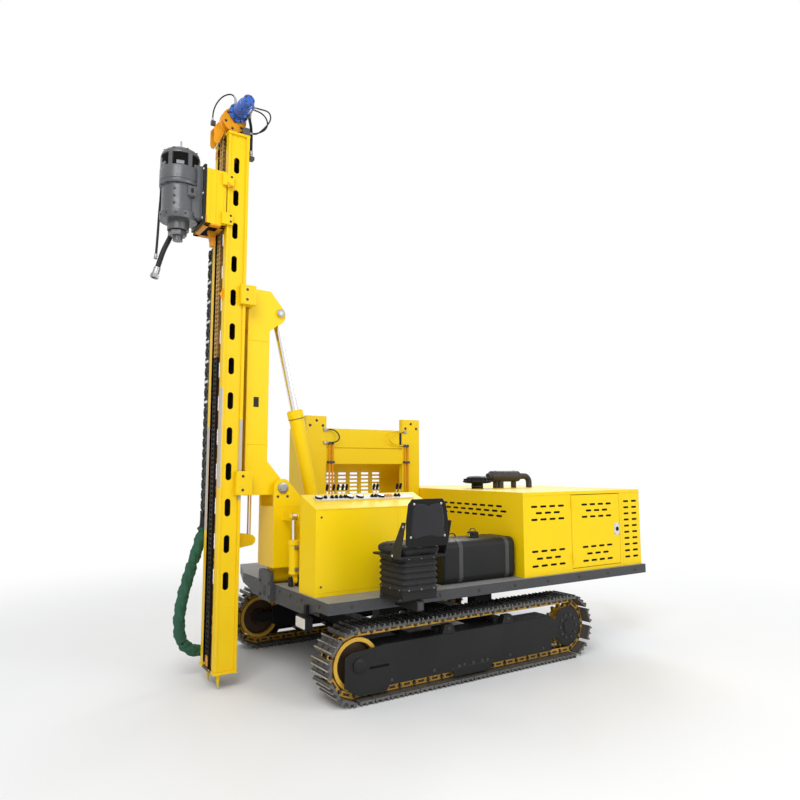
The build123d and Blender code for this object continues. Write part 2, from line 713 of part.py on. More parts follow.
with BuildPart() as rotary_head:
    # head section: radius, height
    with BuildSketch(Plane.XZ.offset(-head_y)):
        with BuildLine():
            Polyline((0, 3715), (150, 3715), (150, 3780), (head_lower_radius, 3780),
                     (head_lower_radius, 4020), (head_radius, 4020), (head_radius, 4190))
            ThreePointArc((head_radius, 4190), (120, 4290), (0, 4335))
            Line((0, 4335), (0, 3715))
        make_face()
    revolve(axis=Axis((0, head_y, 0), (0, 0, 1)))
    with Locations((0, (head_y + carriage_front) / 2, 3960)):
        Box(240, carriage_front - head_y, 470)
    with Locations((0, head_y, 4370)):
        Cylinder(8, 90)
    with BuildSketch(Plane.XY.offset(3640)):
        with Locations((0, head_y)):
            Circle(86)
    extrude(amount=80)
    with BuildSketch(Plane.XY.offset(3600)):
        with Locations((0, head_y)):
            Circle(spindle_radius + running_gap)
    extrude(amount=200, mode=Mode.SUBTRACT)
finish(rotary_head, "rotary_head")

with BuildPart() as spindle:
    with BuildSketch(Plane.XY.offset(spindle_end)):
        with Locations((0, head_y)):
            Circle(spindle_radius)
    extrude(amount=3790 - spindle_end)
    with BuildSketch(Plane.XY.offset(3596)):
        with Locations((0, head_y)):
            RegularPolygon(72, 6)
    extrude(amount=38)
finish(spindle, "spindle")

with BuildPart() as console:
    with BuildSketch(Plane.XZ.offset(-console_front)):
        with BuildLine():
            Polyline((console_inner, deck_top), (console_outer, deck_top), (console_outer, console_low),
                     (console_inner, console_high), close=True)
        make_face()
    extrude(amount=console_front - console_rear)
finish(console, "console")

with BuildPart() as cabinet_frame:
    for y in (cabinet_front + post_width / 2, cabinet_rear - post_width / 2):
        with Locations((cabinet_near - post_depth / 2, y, (deck_top + cabinet_top) / 2)):
            Box(post_depth, post_width, cabinet_top - deck_top)
    for low, high in ((1743, 1898), (1906, 2095)):
        with Locations((cabinet_near - post_depth / 2, (cabinet_front + cabinet_rear) / 2,
                        (low + high) / 2)):
            Box(post_depth - 10, cabinet_rear - cabinet_front - 2 * post_width, high - low)
finish(cabinet_frame, "cabinet_frame")

with BuildPart() as louvre_panel:
    with Locations((cabinet_far, (cabinet_front + cabinet_rear) / 2, (deck_top + 2100) / 2)):
        Box(30, cabinet_rear - cabinet_front, 2100 - deck_top)
finish(louvre_panel, "louvre_panel")

wall = enclosure_wall
with BuildPart() as front_panel:
    with Locations((0, enclosure_front + wall / 2, (deck_top + enclosure_top) / 2)):
        Box(2 * enclosure_half, wall, enclosure_top - deck_top)
finish(front_panel, "front_panel")

with BuildPart() as rear_panel:
    with Locations((0, enclosure_rear - wall / 2, (deck_top + enclosure_top) / 2)):
        Box(2 * enclosure_half, wall, enclosure_top - deck_top)
finish(rear_panel, "rear_panel")

with BuildPart() as roof:
    with Locations((0, (enclosure_front + enclosure_rear) / 2, enclosure_top - wall / 2)):
        Box(2 * enclosure_half, enclosure_rear - enclosure_front - 2 * wall, wall)
finish(roof, "roof")

hinge_y = door_front - door_gap / 2
hinge_slack = 0.5
for side_name, side in (("left", 1), ("right", -1)):
    hinge_x = side * (enclosure_half + hinge_radius + seat_gap)
    with BuildPart() as side_panel:
        with BuildSketch(Plane.YZ.offset(side * enclosure_half)):
            with Locations(((enclosure_front + enclosure_rear) / 2,
                            (deck_top + enclosure_top - wall) / 2)):
                Rectangle(enclosure_rear - enclosure_front - 2 * wall, enclosure_top - wall - deck_top)
            with Locations(((door_front + door_rear) / 2, (door_bottom + door_top) / 2)):
                Rectangle(door_rear - door_front + 2 * door_gap, door_top - door_bottom + 2 * door_gap,
                          mode=Mode.SUBTRACT)
        extrude(amount=-side * wall)
        for z in hinge_z:
            for end in (1, -1):
                with Locations((hinge_x, hinge_y, z + end * (hinge_length * 3 / 4 + hinge_slack))):
                    Cylinder(hinge_radius, hinge_length / 2)
            with Locations((hinge_x, hinge_y, z)):
                Cylinder(hinge_pin_radius, 2 * hinge_length)
            with Locations((side * (enclosure_half + 1.5), hinge_y - 20, z)):
                Box(3, 20, 2 * hinge_length)
            for end in (1, -1):
                with Locations((side * (enclosure_half + 1.5), hinge_y - 8,
                                z + end * (hinge_length * 3 / 4 + hinge_slack))):
                    Box(3, 12, hinge_length / 2)
    finish(side_panel, f"side_panel_{side_name}")

    with BuildPart() as door:
        with BuildSketch(Plane.YZ.offset(side * enclosure_half)):
            with Locations(((door_front + door_rear) / 2, (door_bottom + door_top) / 2)):
                Rectangle(door_rear - door_front, door_top - door_bottom)
        extrude(amount=-side * wall)
        for z in hinge_z:
            with Locations((side * (enclosure_half + 1.5), hinge_y + 20, z)):
                Box(3, 36, hinge_length)
            with Locations((hinge_x, hinge_y, z)):
                Cylinder(hinge_radius, hinge_length)
                Cylinder(hinge_pin_radius + running_gap, hinge_length + 2, mode=Mode.SUBTRACT)
    finish(door, f"door_{side_name}")

with BuildPart() as engine_block:
    with Locations((0, 1450, deck_top + 250)):
        Box(620, 900, 500)
finish(engine_block, "engine_block")

with BuildPart() as exhaust:
    with Locations((0, 1300, 1612)):
        Cylinder(58, 480, rotation=(90, 0, 0))
    with Locations((0, 1250, (enclosure_top + 1570) / 2)):
        Box(60, 60, 1570 - enclosure_top)
finish(exhaust, "exhaust")

with BuildPart() as fuel_tank:
    with Locations(((tank_inner + tank_outer) / 2, (tank_front + tank_rear) / 2,
                    (deck_top + tank_top) / 2)):
        Box(tank_outer - tank_inner, tank_rear - tank_front, tank_top - deck_top)
finish(fuel_tank, "fuel_tank")

with BuildPart() as seat_base:
    with Locations((seat_x, seat_y, (seat_plate_top + bellows_bottom) / 2)):
        Box(300, 300, bellows_bottom - seat_plate_top)
    with Locations((seat_x, seat_y, seat_plate_top - 7)):
        Box(2 * (seat_x - deck_half) - 10, 340, 14)
    with Locations(((deck_half + 1370) / 2, seat_y, (seat_arm_bottom + seat_plate_top - 14) / 2)):
        Box(1370 - deck_half, 60, seat_plate_top - 14 - seat_arm_bottom)
finish(seat_base, "seat_base")

with BuildPart() as bellows:
    with Locations((seat_x, seat_y, (bellows_bottom + bellows_top) / 2)):
        Box(340, 320, bellows_top - bellows_bottom)
finish(bellows, "bellows")

with BuildPart() as seat_pan:
    with Locations((seat_x, seat_y, bellows_top + seat_gap + 8)):
        Box(380, 380, 16)
    for side in (1, -1):
        with BuildSketch(Plane.XZ.offset(-(seat_y + side * 203))):
            with BuildLine():
                Polyline((seat_x + 60, bellows_top + 2), (seat_x + 190, bellows_top + 2),
                         (seat_x + 262, 1330), (seat_x + 222, 1330), close=True)
            make_face()
        extrude(amount=4, both=True)
        with Locations((seat_x + 125, seat_y + side * 195, bellows_top + 10)):
            Box(130, 18, 12)
finish(seat_pan, "seat_pan")

with BuildPart() as seat_cushion:
    with Locations((seat_x, seat_y, bellows_top + seat_gap + 16.3 + 33)):
        Box(430, 396, 66)
finish(seat_cushion, "seat_cushion")

with BuildPart() as seat_back:
    with Locations((seat_x + 225, seat_y, 1340)):
        Box(60, 397.4, 320)
finish(seat_back, "seat_back")
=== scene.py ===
"""Looks of the tracked pile driver rig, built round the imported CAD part.

Metres. +X is the machine's left, +Y its rear and +Z up; the mast stands at -Y.
A shape is a pair: an array of points and a list of face arrays that number those points.
"""

import math

import bpy
import numpy as np
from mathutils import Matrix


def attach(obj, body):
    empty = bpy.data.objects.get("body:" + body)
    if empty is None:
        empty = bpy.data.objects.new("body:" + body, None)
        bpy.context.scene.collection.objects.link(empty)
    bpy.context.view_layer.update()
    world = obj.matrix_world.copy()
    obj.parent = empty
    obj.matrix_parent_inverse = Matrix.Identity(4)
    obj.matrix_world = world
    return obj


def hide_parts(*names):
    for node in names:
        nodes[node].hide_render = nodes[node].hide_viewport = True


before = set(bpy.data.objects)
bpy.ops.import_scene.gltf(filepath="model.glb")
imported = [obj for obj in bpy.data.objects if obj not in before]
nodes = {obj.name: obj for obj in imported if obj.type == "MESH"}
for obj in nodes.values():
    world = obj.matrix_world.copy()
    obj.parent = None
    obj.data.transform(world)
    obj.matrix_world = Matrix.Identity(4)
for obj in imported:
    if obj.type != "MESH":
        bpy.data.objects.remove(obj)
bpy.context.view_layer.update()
scene = bpy.context.scene
sides = {"left": 1, "right": -1}

# Directions
leftward = (1, 0, 0)
rightward = (-1, 0, 0)
rearward = (0, 1, 0)
forward = (0, -1, 0)
upward = (0, 0, 1)
downward = (0, 0, -1)

# Track loop, as in the CAD part
track_x = 0.92
axle_y = 1.1025
axle_z = 0.2785
shoe_base = 0.2465
shoe_count = 43
pitch_radius = 0.2185
shoe_half_width = 0.135
run = 2 * axle_y
bend = math.pi * pitch_radius
shoe_pitch = (2 * run + 2 * bend) / shoe_count

skirt_face = 1.0215
support_y = (-0.264, 0.376)

# Mast's chains, drum and motor, and the rotary head's axis
chain_y = -1.889
carrier_y = -1.863
drum_y = -1.829
drum_z = 4.665
motor_y = -1.806
motor_z = 4.73
head_y = -2.244

# Deck, seat, tank and enclosure
deck_top = 0.756
seat_x = 1.215
seat_y = -0.8
tank_x = 0.786
house_side = 1.05
house_front = 0.545
house_rear = 2.15
slot_pitch = 0.114
muffler_z = 1.612

# Camera at the photograph's view
lens = bpy.data.cameras.new("photo view")
camera = bpy.data.objects.new("photo view", lens)
scene.collection.objects.link(camera)
scene.camera = camera
camera.location = (5.3509, -3.674, 1.728)
camera.rotation_euler = (math.pi / 2 + 0.1145, 0, 0.9949)
lens.sensor_width = 36
lens.lens = 29.86
lens.shift_x = 0.01655
lens.shift_y = -0.0136


# Shapes
def joined(*shapes):
    """One shape: the points stacked, each face's numbers raised by the points before it."""
    points, faces, before = [], [], 0
    for shape_points, shape_faces in shapes:
        points.append(shape_points)
        faces += [rows + before for rows in shape_faces]
        before += len(shape_points)
    return np.concatenate(points), faces


def placed(shape, places):
    """Copies of a shape: point p goes to M p for each 4x4 matrix M of places."""
    points, faces = shape
    full = np.c_[points, np.ones(len(points))]
    copies = np.einsum("nij,pj->npi", places, full)[..., :3].reshape(-1, 3)
    starts = np.arange(len(places))[:, None, None] * len(points)
    return copies, [(rows[None] + starts).reshape(-1, rows.shape[1]) for rows in faces]


def frames(origins, z_axis=upward, x_axis=None):
    """Matrices whose columns are x, z cross x, z and the origin, one for each origin.

    Where no x axis is given it is +Z for level z axes, and +X otherwise.
    """
    origins = np.atleast_2d(np.asarray(origins, float))
    up = np.broadcast_to(np.asarray(z_axis, float), origins.shape)
    if x_axis is None:
        x_axis = leftward if np.any(up[:, 2]) else upward
    across = np.broadcast_to(np.asarray(x_axis, float), origins.shape)
    places = np.zeros((len(origins), 4, 4))
    for column, values in enumerate((across, np.cross(up, across), up, origins)):
        places[:, :3, column] = values
    places[:, 3, 3] = 1
    return places


def strips(rows, columns):
    """Quads between neighbouring rows of a grid of points, closed round its columns."""
    row, column = np.meshgrid(np.arange(rows - 1), np.arange(columns), indexing="ij")
    after = (column + 1) % columns
    return np.stack([row * columns + column, row * columns + after,
                     (row + 1) * columns + after, (row + 1) * columns + column], -1).reshape(-1, 4)


def stacked(rings):
    """Closed skin over equal rings of points, with a flat cap on the first and the last."""
    rows, columns = rings.shape[:2]
    ring = np.arange(columns)
    return rings.reshape(-1, 3), [strips(rows, columns), ring[None, ::-1],
                                  (rows - 1) * columns + ring[None]]


def lathe(profile, sides=24):
    """Turned solid: at angle a the row (r, z) gives the point (r cos a, r sin a, z)."""
    profile = np.asarray(profile, float)
    angle = np.arange(sides) * 2 * np.pi / sides
    circle = np.stack([np.cos(angle), np.sin(angle)], -1)
    height = np.broadcast_to(profile[:, None, 1:], (len(profile), sides, 1))
    return stacked(np.concatenate([profile[:, None, :1] * circle, height], -1))


def turned(profile, place, way=upward, sides=28):
    """Lathe of a profile that stands on a place, or on each of several, along a way."""
    return placed(lathe(profile, sides), frames(place, way))


def circle(count, radius, centre, start=0.0, axes=(1, 2)):
    """Points centre + radius (cos a, sin a) on two axes, evenly spaced from the angle start."""
    angle = start + np.arange(count) * 2 * np.pi / count
    points = np.tile(np.asarray(centre, float), (count, 1))
    points[:, axes[0]] += radius * np.cos(angle)
    points[:, axes[1]] += radius * np.sin(angle)
    return points


def carousel(shape, count, centre, start=0.0):
    """Copies of a shape turned evenly round the upright line through a centre."""
    ways = circle(count, 1, (0, 0, 0), start, (0, 1))
    return placed(shape, frames(np.broadcast_to(centre, (count, 3)), upward, ways))


def polyline(x, y, z):
    """Points (x, y, z) of a polyline, from arrays and plain numbers alike."""
    return np.stack(np.broadcast_arrays(x, y, z), -1).astype(float)


def both(make):
    """One shape of what make gives for the left side, 1, and for the right side, -1."""
    return joined(make(1), make(-1))


def boxes(corners, edge=0.002):
    """Chamfered boxes, each from six numbers: its low corner, then its high one."""
    return joined(*(box(row[:3], row[3:], edge) for row in corners))


def inset(outline, distance):
    """Outline moved inwards: each corner slides back along the sum of its sides' normals."""
    ahead = np.roll(outline, -1, 0) - outline
    ahead /= np.linalg.norm(ahead, axis=1, keepdims=True)
    normal = np.stack([ahead[:, 1], -ahead[:, 0]], -1)
    before = np.roll(normal, 1, 0)
    shared = 1 + (normal * before).sum(1, keepdims=True)
    return outline - distance * (normal + before) / np.maximum(shared, 0.3)


def plate(outline, low, high, edge=0.002):
    """Prism of a counter-clockwise outline from z = low to high, its edges chamfered."""
    outline = np.asarray(outline, float)
    small = inset(outline, edge)
    levels = ((small, low), (outline, low + edge), (outline, high - edge), (small, high))
    return stacked(np.stack([np.c_[ring, np.full(len(ring), z)] for ring, z in levels]))


def rounded(width, height, radius, steps=4):
    """Outline of a rectangle with round corners, counter-clockwise about its middle."""
    corner = np.arange(4)[:, None] * np.pi / 2 + np.linspace(0, np.pi / 2, steps + 1)
    middle = np.stack([np.array([1, -1, -1, 1]) * (width / 2 - radius),
                       np.array([1, 1, -1, -1]) * (height / 2 - radius)], -1)
    arc = np.stack([np.cos(corner), np.sin(corner)], -1) * radius
    return (middle[:, None] + arc).reshape(-1, 2)


def box(low, high, edge=0.002):
    """Chamfered box between two corners."""
    outline = [(low[0], low[1]), (high[0], low[1]), (high[0], high[1]), (low[0], high[1])]
    return plate(outline, low[2], high[2], edge)


def rod(start, end, radius, sides=20, edge=0.0015):
    """Round bar between two points."""
    start, end = np.asarray(start, float), np.asarray(end, float)
    length = np.linalg.norm(end - start)
    way = (end - start) / length
    side = np.cross(way, upward if abs(way[2]) < 0.9 else leftward)
    side /= np.linalg.norm(side)
    profile = ((radius - edge, 0), (radius, edge), (radius, length - edge), (radius - edge, length))
    return placed(lathe(profile, sides), frames(start, way, side))


def tube(path, radius, sides=16):
    """Pipe round a path: each ring lies across the path's direction at that point.

    A ring's first axis is the cross product of that direction and a lean that no path follows.
    """
    path = np.asarray(path, float)
    way = np.gradient(path, axis=0)
    way /= np.linalg.norm(way, axis=1, keepdims=True)
    lean = (0.31, 0.17, 0.11)
    side = np.cross(way, lean)
    side /= np.linalg.norm(side, axis=1, keepdims=True)
    over = np.cross(way, side)
    angle = np.arange(sides) * 2 * np.pi / sides
    radius = np.broadcast_to(radius, (len(path), sides))[..., None]
    cos, sin = np.cos(angle)[None, :, None], np.sin(angle)[None, :, None]
    return stacked(path[:, None] + (side[:, None] * cos + over[:, None] * sin) * radius)


def bolt(radius):
    """Hexagon head on its washer, standing on z = 0."""
    washer = lathe(((1.45 * radius, 0), (1.45 * radius, 0.25 * radius)), 16)
    head = lathe(((radius, 0.2 * radius), (radius, 0.75 * radius), (0.8 * radius, 0.9 * radius)), 6)
    return joined(washer, head)


def bolts(radius, origins, z_axis, x_axis=None):
    """Bolts at the origins, standing along z_axis."""
    return placed(bolt(radius), frames(origins, z_axis, x_axis))


def side_plate(outline, low, high, edge=0.002):
    """Prism along X of an outline given as (y, z), counter-clockwise seen from +X."""
    return placed(plate(outline, low, high, edge), frames((0, 0, 0), leftward, rearward))


def on_track(along, radius):
    """Points at a radius from the wheels' line, and outward directions, at lengths along a track.

    The loop runs back over the top, down round the rear wheel, forward and up at the front. On
    the straights the turn a is 0 or pi, and on the wheels it grows with the length; the point
    is middle + radius (0, sin a, cos a).
    """
    along = np.asarray(along, float) % (2 * run + 2 * bend)
    top = along < run
    rear = (along >= run) & (along < run + bend)
    under = (along >= run + bend) & (along < 2 * run + bend)
    turn = np.where(top, 0, np.where(rear, (along - run) / pitch_radius,
                    np.where(under, np.pi, np.pi + (along - 2 * run - bend) / pitch_radius)))
    middle = np.where(top, along - axle_y, np.where(rear, axle_y,
                      np.where(under, axle_y - (along - run - bend), -axle_y)))
    out = polyline(0, np.sin(turn), np.cos(turn))
    return polyline(0, middle, axle_z) + radius * out, out


def piece(name, parts, body="root", instead=(), angle=35):
    """One object from (shape, material) parts; it rides on body and replaces the nodes instead."""
    mesh = bpy.data.meshes.new(name)
    points, faces = joined(*(shape for shape, _ in parts))
    sizes = np.concatenate([np.full(len(rows), rows.shape[1]) for rows in faces])
    corners = np.concatenate([rows.ravel() for rows in faces])
    kinds = []
    for _, material in parts:
        if material not in kinds:
            kinds.append(material)
            mesh.materials.append(material)
    owner = np.concatenate([np.full(sum(len(rows) for rows in shape[1]), kinds.index(material))
                            for shape, material in parts])
    mesh.vertices.add(len(points))
    mesh.vertices.foreach_set("co", points.ravel())
    mesh.loops.add(len(corners))
    mesh.loops.foreach_set("vertex_index", corners)
    mesh.polygons.add(len(sizes))
    mesh.polygons.foreach_set("loop_start", np.concatenate([[0], np.cumsum(sizes)[:-1]]))
    mesh.polygons.foreach_set("material_index", owner)
    mesh.update(calc_edges=True)
    mesh.validate()
    mesh.shade_smooth()
    mesh.set_sharp_from_angle(angle=math.radians(angle))
    made = bpy.data.objects.new(name, mesh)
    scene.collection.objects.link(made)
    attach(made, body)
    if instead:
        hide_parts(*instead)
    return made


# Shader groups and materials
def new_node(tree, kind, *entries, **named):
    """New shader node of a group's or a material's tree.

    Lower-case names are its settings. The other names are sockets, and so are the entries, in
    their order: each takes a value, or a link from another node's output.
    """
    made = tree.nodes.new(f"ShaderNode{kind}")
    sockets = dict(enumerate(entries))
    for name, value in named.items():
        if name.islower():
            setattr(made, name, value)
        else:
            sockets[name.replace("_", " ")] = value
    for socket, value in sockets.items():
        if isinstance(value, bpy.types.NodeSocket):
            tree.links.new(value, made.inputs[socket])
        else:
            made.inputs[socket].default_value = value
    return made


def new_group(name, inputs, outputs):
    """Empty shader group with the named sockets; inputs are (name, kind, default)."""
    group = bpy.data.node_groups.new(name, "ShaderNodeTree")
    for socket, kind, default in inputs:
        made = group.interface.new_socket(socket, in_out="INPUT", socket_type=f"NodeSocket{kind}")
        made.default_value = default
    for socket in outputs:
        group.interface.new_socket(socket, in_out="OUTPUT", socket_type="NodeSocketFloat")
    return (group, group.nodes.new("NodeGroupInput").outputs,
            group.nodes.new("NodeGroupOutput").inputs)


def wear_group():
    """Broad patches, fine grain and small specks from object coordinates, and worn edges.

    Edge grows as the dot product of the true normal and a rounded one falls below 1.
    """
    group, given, shown = new_group("wear", [("Scale", "Float", 1.0)],
                                    ("Patch", "Grain", "Speck", "Edge"))
    place = new_node(group, "TexCoord").outputs["Object"]
    for name, scale, detail in (("Patch", 2.3, 4.0), ("Grain", 41.0, 3.0), ("Speck", 170.0, 1.0)):
        times = new_node(group, "Math", given["Scale"], scale, operation="MULTIPLY")
        noise = new_node(group, "TexNoise", Vector=place, Scale=times.outputs[0], Detail=detail)
        group.links.new(noise.outputs[0], shown[name])
    bevel = new_node(group, "Bevel", Radius=0.007, samples=4)
    true = new_node(group, "NewGeometry")
    dot = new_node(group, "VectorMath", bevel.outputs[0], true.outputs["Normal"],
                   operation="DOT_PRODUCT")
    ramp = new_node(group, "MapRange", dot.outputs["Value"], From_Min=0.985, From_Max=0.8)
    group.links.new(ramp.outputs[0], shown["Edge"])
    return group


def zone_group():
    """1 where the object point, shaken a little by noise, lies between Low and High."""
    group, given, shown = new_group("zone", [("Low", "Vector", (0, 0, 0)),
                                             ("High", "Vector", (1, 1, 1)),
                                             ("Shake", "Float", 0.01)], ("Inside",))

    def worked(kind, operation, first, second):
        return new_node(group, kind, first, second, operation=operation).outputs[0]

    place = new_node(group, "TexCoord").outputs["Object"]
    noise = new_node(group, "TexNoise", Vector=place, Scale=26.0).outputs["Color"]
    swing = worked("VectorMath", "SUBTRACT", noise, (0.5, 0.5, 0.5))
    point = worked("VectorMath", "ADD", place,
                   worked("VectorMath", "MULTIPLY", swing, given["Shake"]))
    least = worked("VectorMath", "MINIMUM", worked("VectorMath", "SUBTRACT", point, given["Low"]),
                   worked("VectorMath", "SUBTRACT", given["High"], point))
    parts = new_node(group, "SeparateXYZ", least).outputs
    value = worked("Math", "MINIMUM", worked("Math", "MINIMUM", parts[0], parts[1]), parts[2])
    group.links.new(worked("Math", "GREATER_THAN", value, 0.0), shown["Inside"])
    return group


wear = wear_group()
zone = zone_group()


def surface(name, colour, second=None, rough=0.5, metal=0.0, coat=0.0, spread=0.5, swing=0.1,
            bump=0.06, scale=1.0, edge=None, edge_share=0.5, speck=None, zones=(), shine=0.5):
    """A painted, cast or moulded surface.

    The colour drifts between two shades with the patches, turns to edge on worn corners and to
    speck in small spots, and takes a zone's colour between two corners of space. The gloss and
    the relief follow the grain.
    """
    material = bpy.data.materials.new(name)
    material.use_nodes = True
    tree = material.node_tree
    shader = tree.nodes["Principled BSDF"].inputs
    marks = new_node(tree, "Group", node_tree=wear, Scale=scale).outputs

    def ranged(source, low, high, first, last):
        return new_node(tree, "MapRange", source, low, high, first, last).outputs[0]

    def mixed(factor, first, last):
        first = (*first, 1) if isinstance(first, tuple) else first
        return new_node(tree, "Mix", data_type="RGBA", Factor=factor, A=first,
                        B=(*last, 1)).outputs["Result"]

    shade = second or tuple(0.86 * c for c in colour)
    tint = mixed(ranged(marks["Patch"], 0.5 - spread / 2, 0.5 + spread / 2, 0, 1), colour, shade)
    if speck:
        tint = mixed(ranged(marks["Speck"], 0.64, 0.72, 0, 0.8), tint, speck)
    for low, high, paint in zones:
        mask = new_node(tree, "Group", node_tree=zone, Low=low, High=high)
        tint = mixed(mask.outputs["Inside"], tint, paint)
    if edge:
        worn = new_node(tree, "Math", marks["Edge"],
                        ranged(marks["Grain"], 0.42, 0.62, 0.15, edge_share), operation="MULTIPLY")
        tint = mixed(worn.outputs[0], tint, edge)
    soft = new_node(tree, "Bevel", Radius=0.003, samples=4)
    relief = new_node(tree, "Bump", Strength=bump, Distance=0.002, Height=marks["Grain"],
                      Normal=soft.outputs[0])
    gloss = ranged(marks["Grain"], 0.3, 0.7, max(rough - swing, 0.02), rough + swing)
    for source, socket in ((tint, "Base Color"), (gloss, "Roughness"),
                           (relief.outputs[0], "Normal")):
        tree.links.new(source, shader[socket])
    for socket, value in (("Metallic", metal), ("Specular IOR Level", shine),
                          ("Coat Weight", coat), ("Coat Roughness", 0.12)):
        shader[socket].default_value = value
    return material


yellow = surface("yellow paint", (0.9, 0.63, 0.002), (0.89, 0.6, 0.002), 0.38, coat=0.05,
                 edge=(0.93, 0.72, 0.08), edge_share=0.25, bump=0.015, swing=0.04, shine=0.2)
# Mast paint: the grey zones are bare-metal wear on the flanges; the near-black zone is painted
# shade inside the mast's hollow, and the dark brown zone is painted shade on the chain trough's
# floor between the front rails
gold = surface("mast paint", (0.86, 0.585, 0.002), (0.84, 0.54, 0.002), 0.42, coat=0.04,
               edge=(0.92, 0.64, 0.08), edge_share=0.25, bump=0.02, swing=0.05, shine=0.22,
               zones=(((-0.19, -1.92, 1.2), (-0.1, -1.885, 2.05), (0.46, 0.43, 0.38)),
                      ((0.1, -1.92, 1.55), (0.19, -1.885, 2.35), (0.5, 0.46, 0.4)),
                      ((0.165, -1.75, 1.45), (0.19, -1.7, 2.1), (0.48, 0.44, 0.38)),
                      ((-0.156, -1.824, 0.1), (0.156, -1.722, 4.6), (0.012, 0.009, 0.005)),
                      ((-0.105, -1.9, 0.1), (0.105, -1.832, 4.6), (0.1, 0.06, 0.018))))
orange = surface("orange paint", (0.78, 0.34, 0.006), (0.68, 0.26, 0.005), 0.44, coat=0.06,
                 edge=(0.85, 0.42, 0.05), edge_share=0.3, shine=0.25)
dark = surface("dark grey paint", (0.04, 0.041, 0.044), (0.056, 0.056, 0.06), 0.5, shine=0.35,
               edge=(0.16, 0.16, 0.16), speck=(0.1, 0.1, 0.1))
plate_grey = surface("deck plate", (0.2, 0.2, 0.2), (0.3, 0.3, 0.29), 0.55, bump=0.12,
                     speck=(0.12, 0.12, 0.12), scale=2.0)
black = surface("black paint", (0.01, 0.01, 0.0105), (0.016, 0.016, 0.0165), 0.42, shine=0.2,
                edge=(0.08, 0.08, 0.08))
# Painted shade: near black on thin plates that stand for the dark insides of slots, openings and a
# recess
opening_shade = surface("painted opening shade", (0.004, 0.004, 0.004), (0.007, 0.006, 0.005), 0.85, shine=0.1)
plastic = surface("black plastic", (0.006, 0.006, 0.0065), (0.01, 0.01, 0.0105), 0.5,
                  bump=0.1, shine=0.14, edge=(0.035, 0.035, 0.035))
shoe_steel = surface("track steel", (0.072, 0.07, 0.067), (0.125, 0.121, 0.115), 0.55, metal=0.4,
                     bump=0.3, edge=(0.46, 0.45, 0.43), speck=(0.03, 0.028, 0.025))
bright = surface("polished steel", (0.62, 0.61, 0.59), (0.45, 0.43, 0.4), 0.28, metal=0.9,
                 bump=0.1)
brass = surface("gold links", (0.62, 0.36, 0.045), (0.48, 0.26, 0.03), 0.42, metal=0.35,
                edge=(0.85, 0.62, 0.2), speck=(0.3, 0.16, 0.03))
brown = surface("greased iron", (0.075, 0.045, 0.022), (0.045, 0.028, 0.016), 0.5, metal=0.3,
                bump=0.2)
chrome = surface("chrome", (0.8, 0.8, 0.81), (0.74, 0.74, 0.76), 0.12, metal=1.0, swing=0.03,
                 bump=0.0)
zinc = surface("zinc bolts", (0.4, 0.4, 0.41), (0.26, 0.26, 0.27), 0.35, metal=0.8)
iron = surface("dark bolts", (0.045, 0.043, 0.042), (0.07, 0.066, 0.06), 0.45, metal=0.5)
rubber = surface("rubber", (0.01, 0.01, 0.011), (0.016, 0.016, 0.016), 0.6, bump=0.15, shine=0.3)
cloth = surface("green cloth", (0.02, 0.105, 0.055), (0.012, 0.07, 0.038), 0.8, bump=0.7,
                scale=3.0)
grey = surface("head grey", (0.055, 0.057, 0.062), (0.085, 0.087, 0.093), 0.38, coat=0.2,
               edge=(0.24, 0.24, 0.25))
grey_light = surface("head light grey", (0.2, 0.2, 0.21), (0.14, 0.14, 0.15), 0.4, metal=0.3)
blue = surface("motor blue", (0.01, 0.085, 0.42), (0.012, 0.11, 0.5), 0.36, coat=0.3,
               edge=(0.1, 0.22, 0.6))
pale = surface("pale panel", (0.62, 0.62, 0.6), (0.7, 0.7, 0.68), 0.45)
glass = surface("lamp glass", (0.75, 0.76, 0.78), (0.55, 0.56, 0.58), 0.08, coat=1.0, bump=0.3,
                scale=4.0)
dial = surface("dial white", (0.8, 0.8, 0.78), (0.7, 0.7, 0.68), 0.3, coat=0.6)
yellow_tag = surface("yellow tag", (0.8, 0.62, 0.02), None, 0.5)
muffler = surface("muffler black", (0.02, 0.018, 0.017), (0.04, 0.032, 0.027), 0.55, bump=0.25,
                  speck=(0.07, 0.05, 0.04))
silver = surface("aluminium bars", (0.78, 0.78, 0.77), (0.66, 0.66, 0.65), 0.35, metal=0.5)
chain_side = surface("chain side grey", (0.085, 0.088, 0.092), (0.06, 0.062, 0.066), 0.5)
# Roller chain: clean and golden high up, black grease below 2.6 m
chain = surface("feed chain steel", (0.5, 0.32, 0.1), (0.36, 0.22, 0.07), 0.38, metal=0.7,
                speck=(0.1, 0.06, 0.03),
                zones=(((-1, -3, -1), (1, -1, 2.62), (0.035, 0.03, 0.026)),))


def vinyl_cover():
    """Seat vinyl: a pebbled relief from small cells, with a soft sheen."""
    material = surface("seat vinyl", (0.014, 0.014, 0.016), (0.02, 0.02, 0.022), 0.48, bump=0.25,
                       scale=2.0, shine=0.15)
    tree = material.node_tree
    shader = tree.nodes["Principled BSDF"].inputs
    cells = new_node(tree, "TexVoronoi", new_node(tree, "TexCoord").outputs["Object"], Scale=420.0)
    pebble = new_node(tree, "Bump", Strength=0.25, Distance=0.001, Height=cells.outputs["Distance"],
                      Normal=shader["Normal"].links[0].from_socket)
    tree.links.new(pebble.outputs[0], shader["Normal"])
    shader["Sheen Weight"].default_value = 0.15
    return material


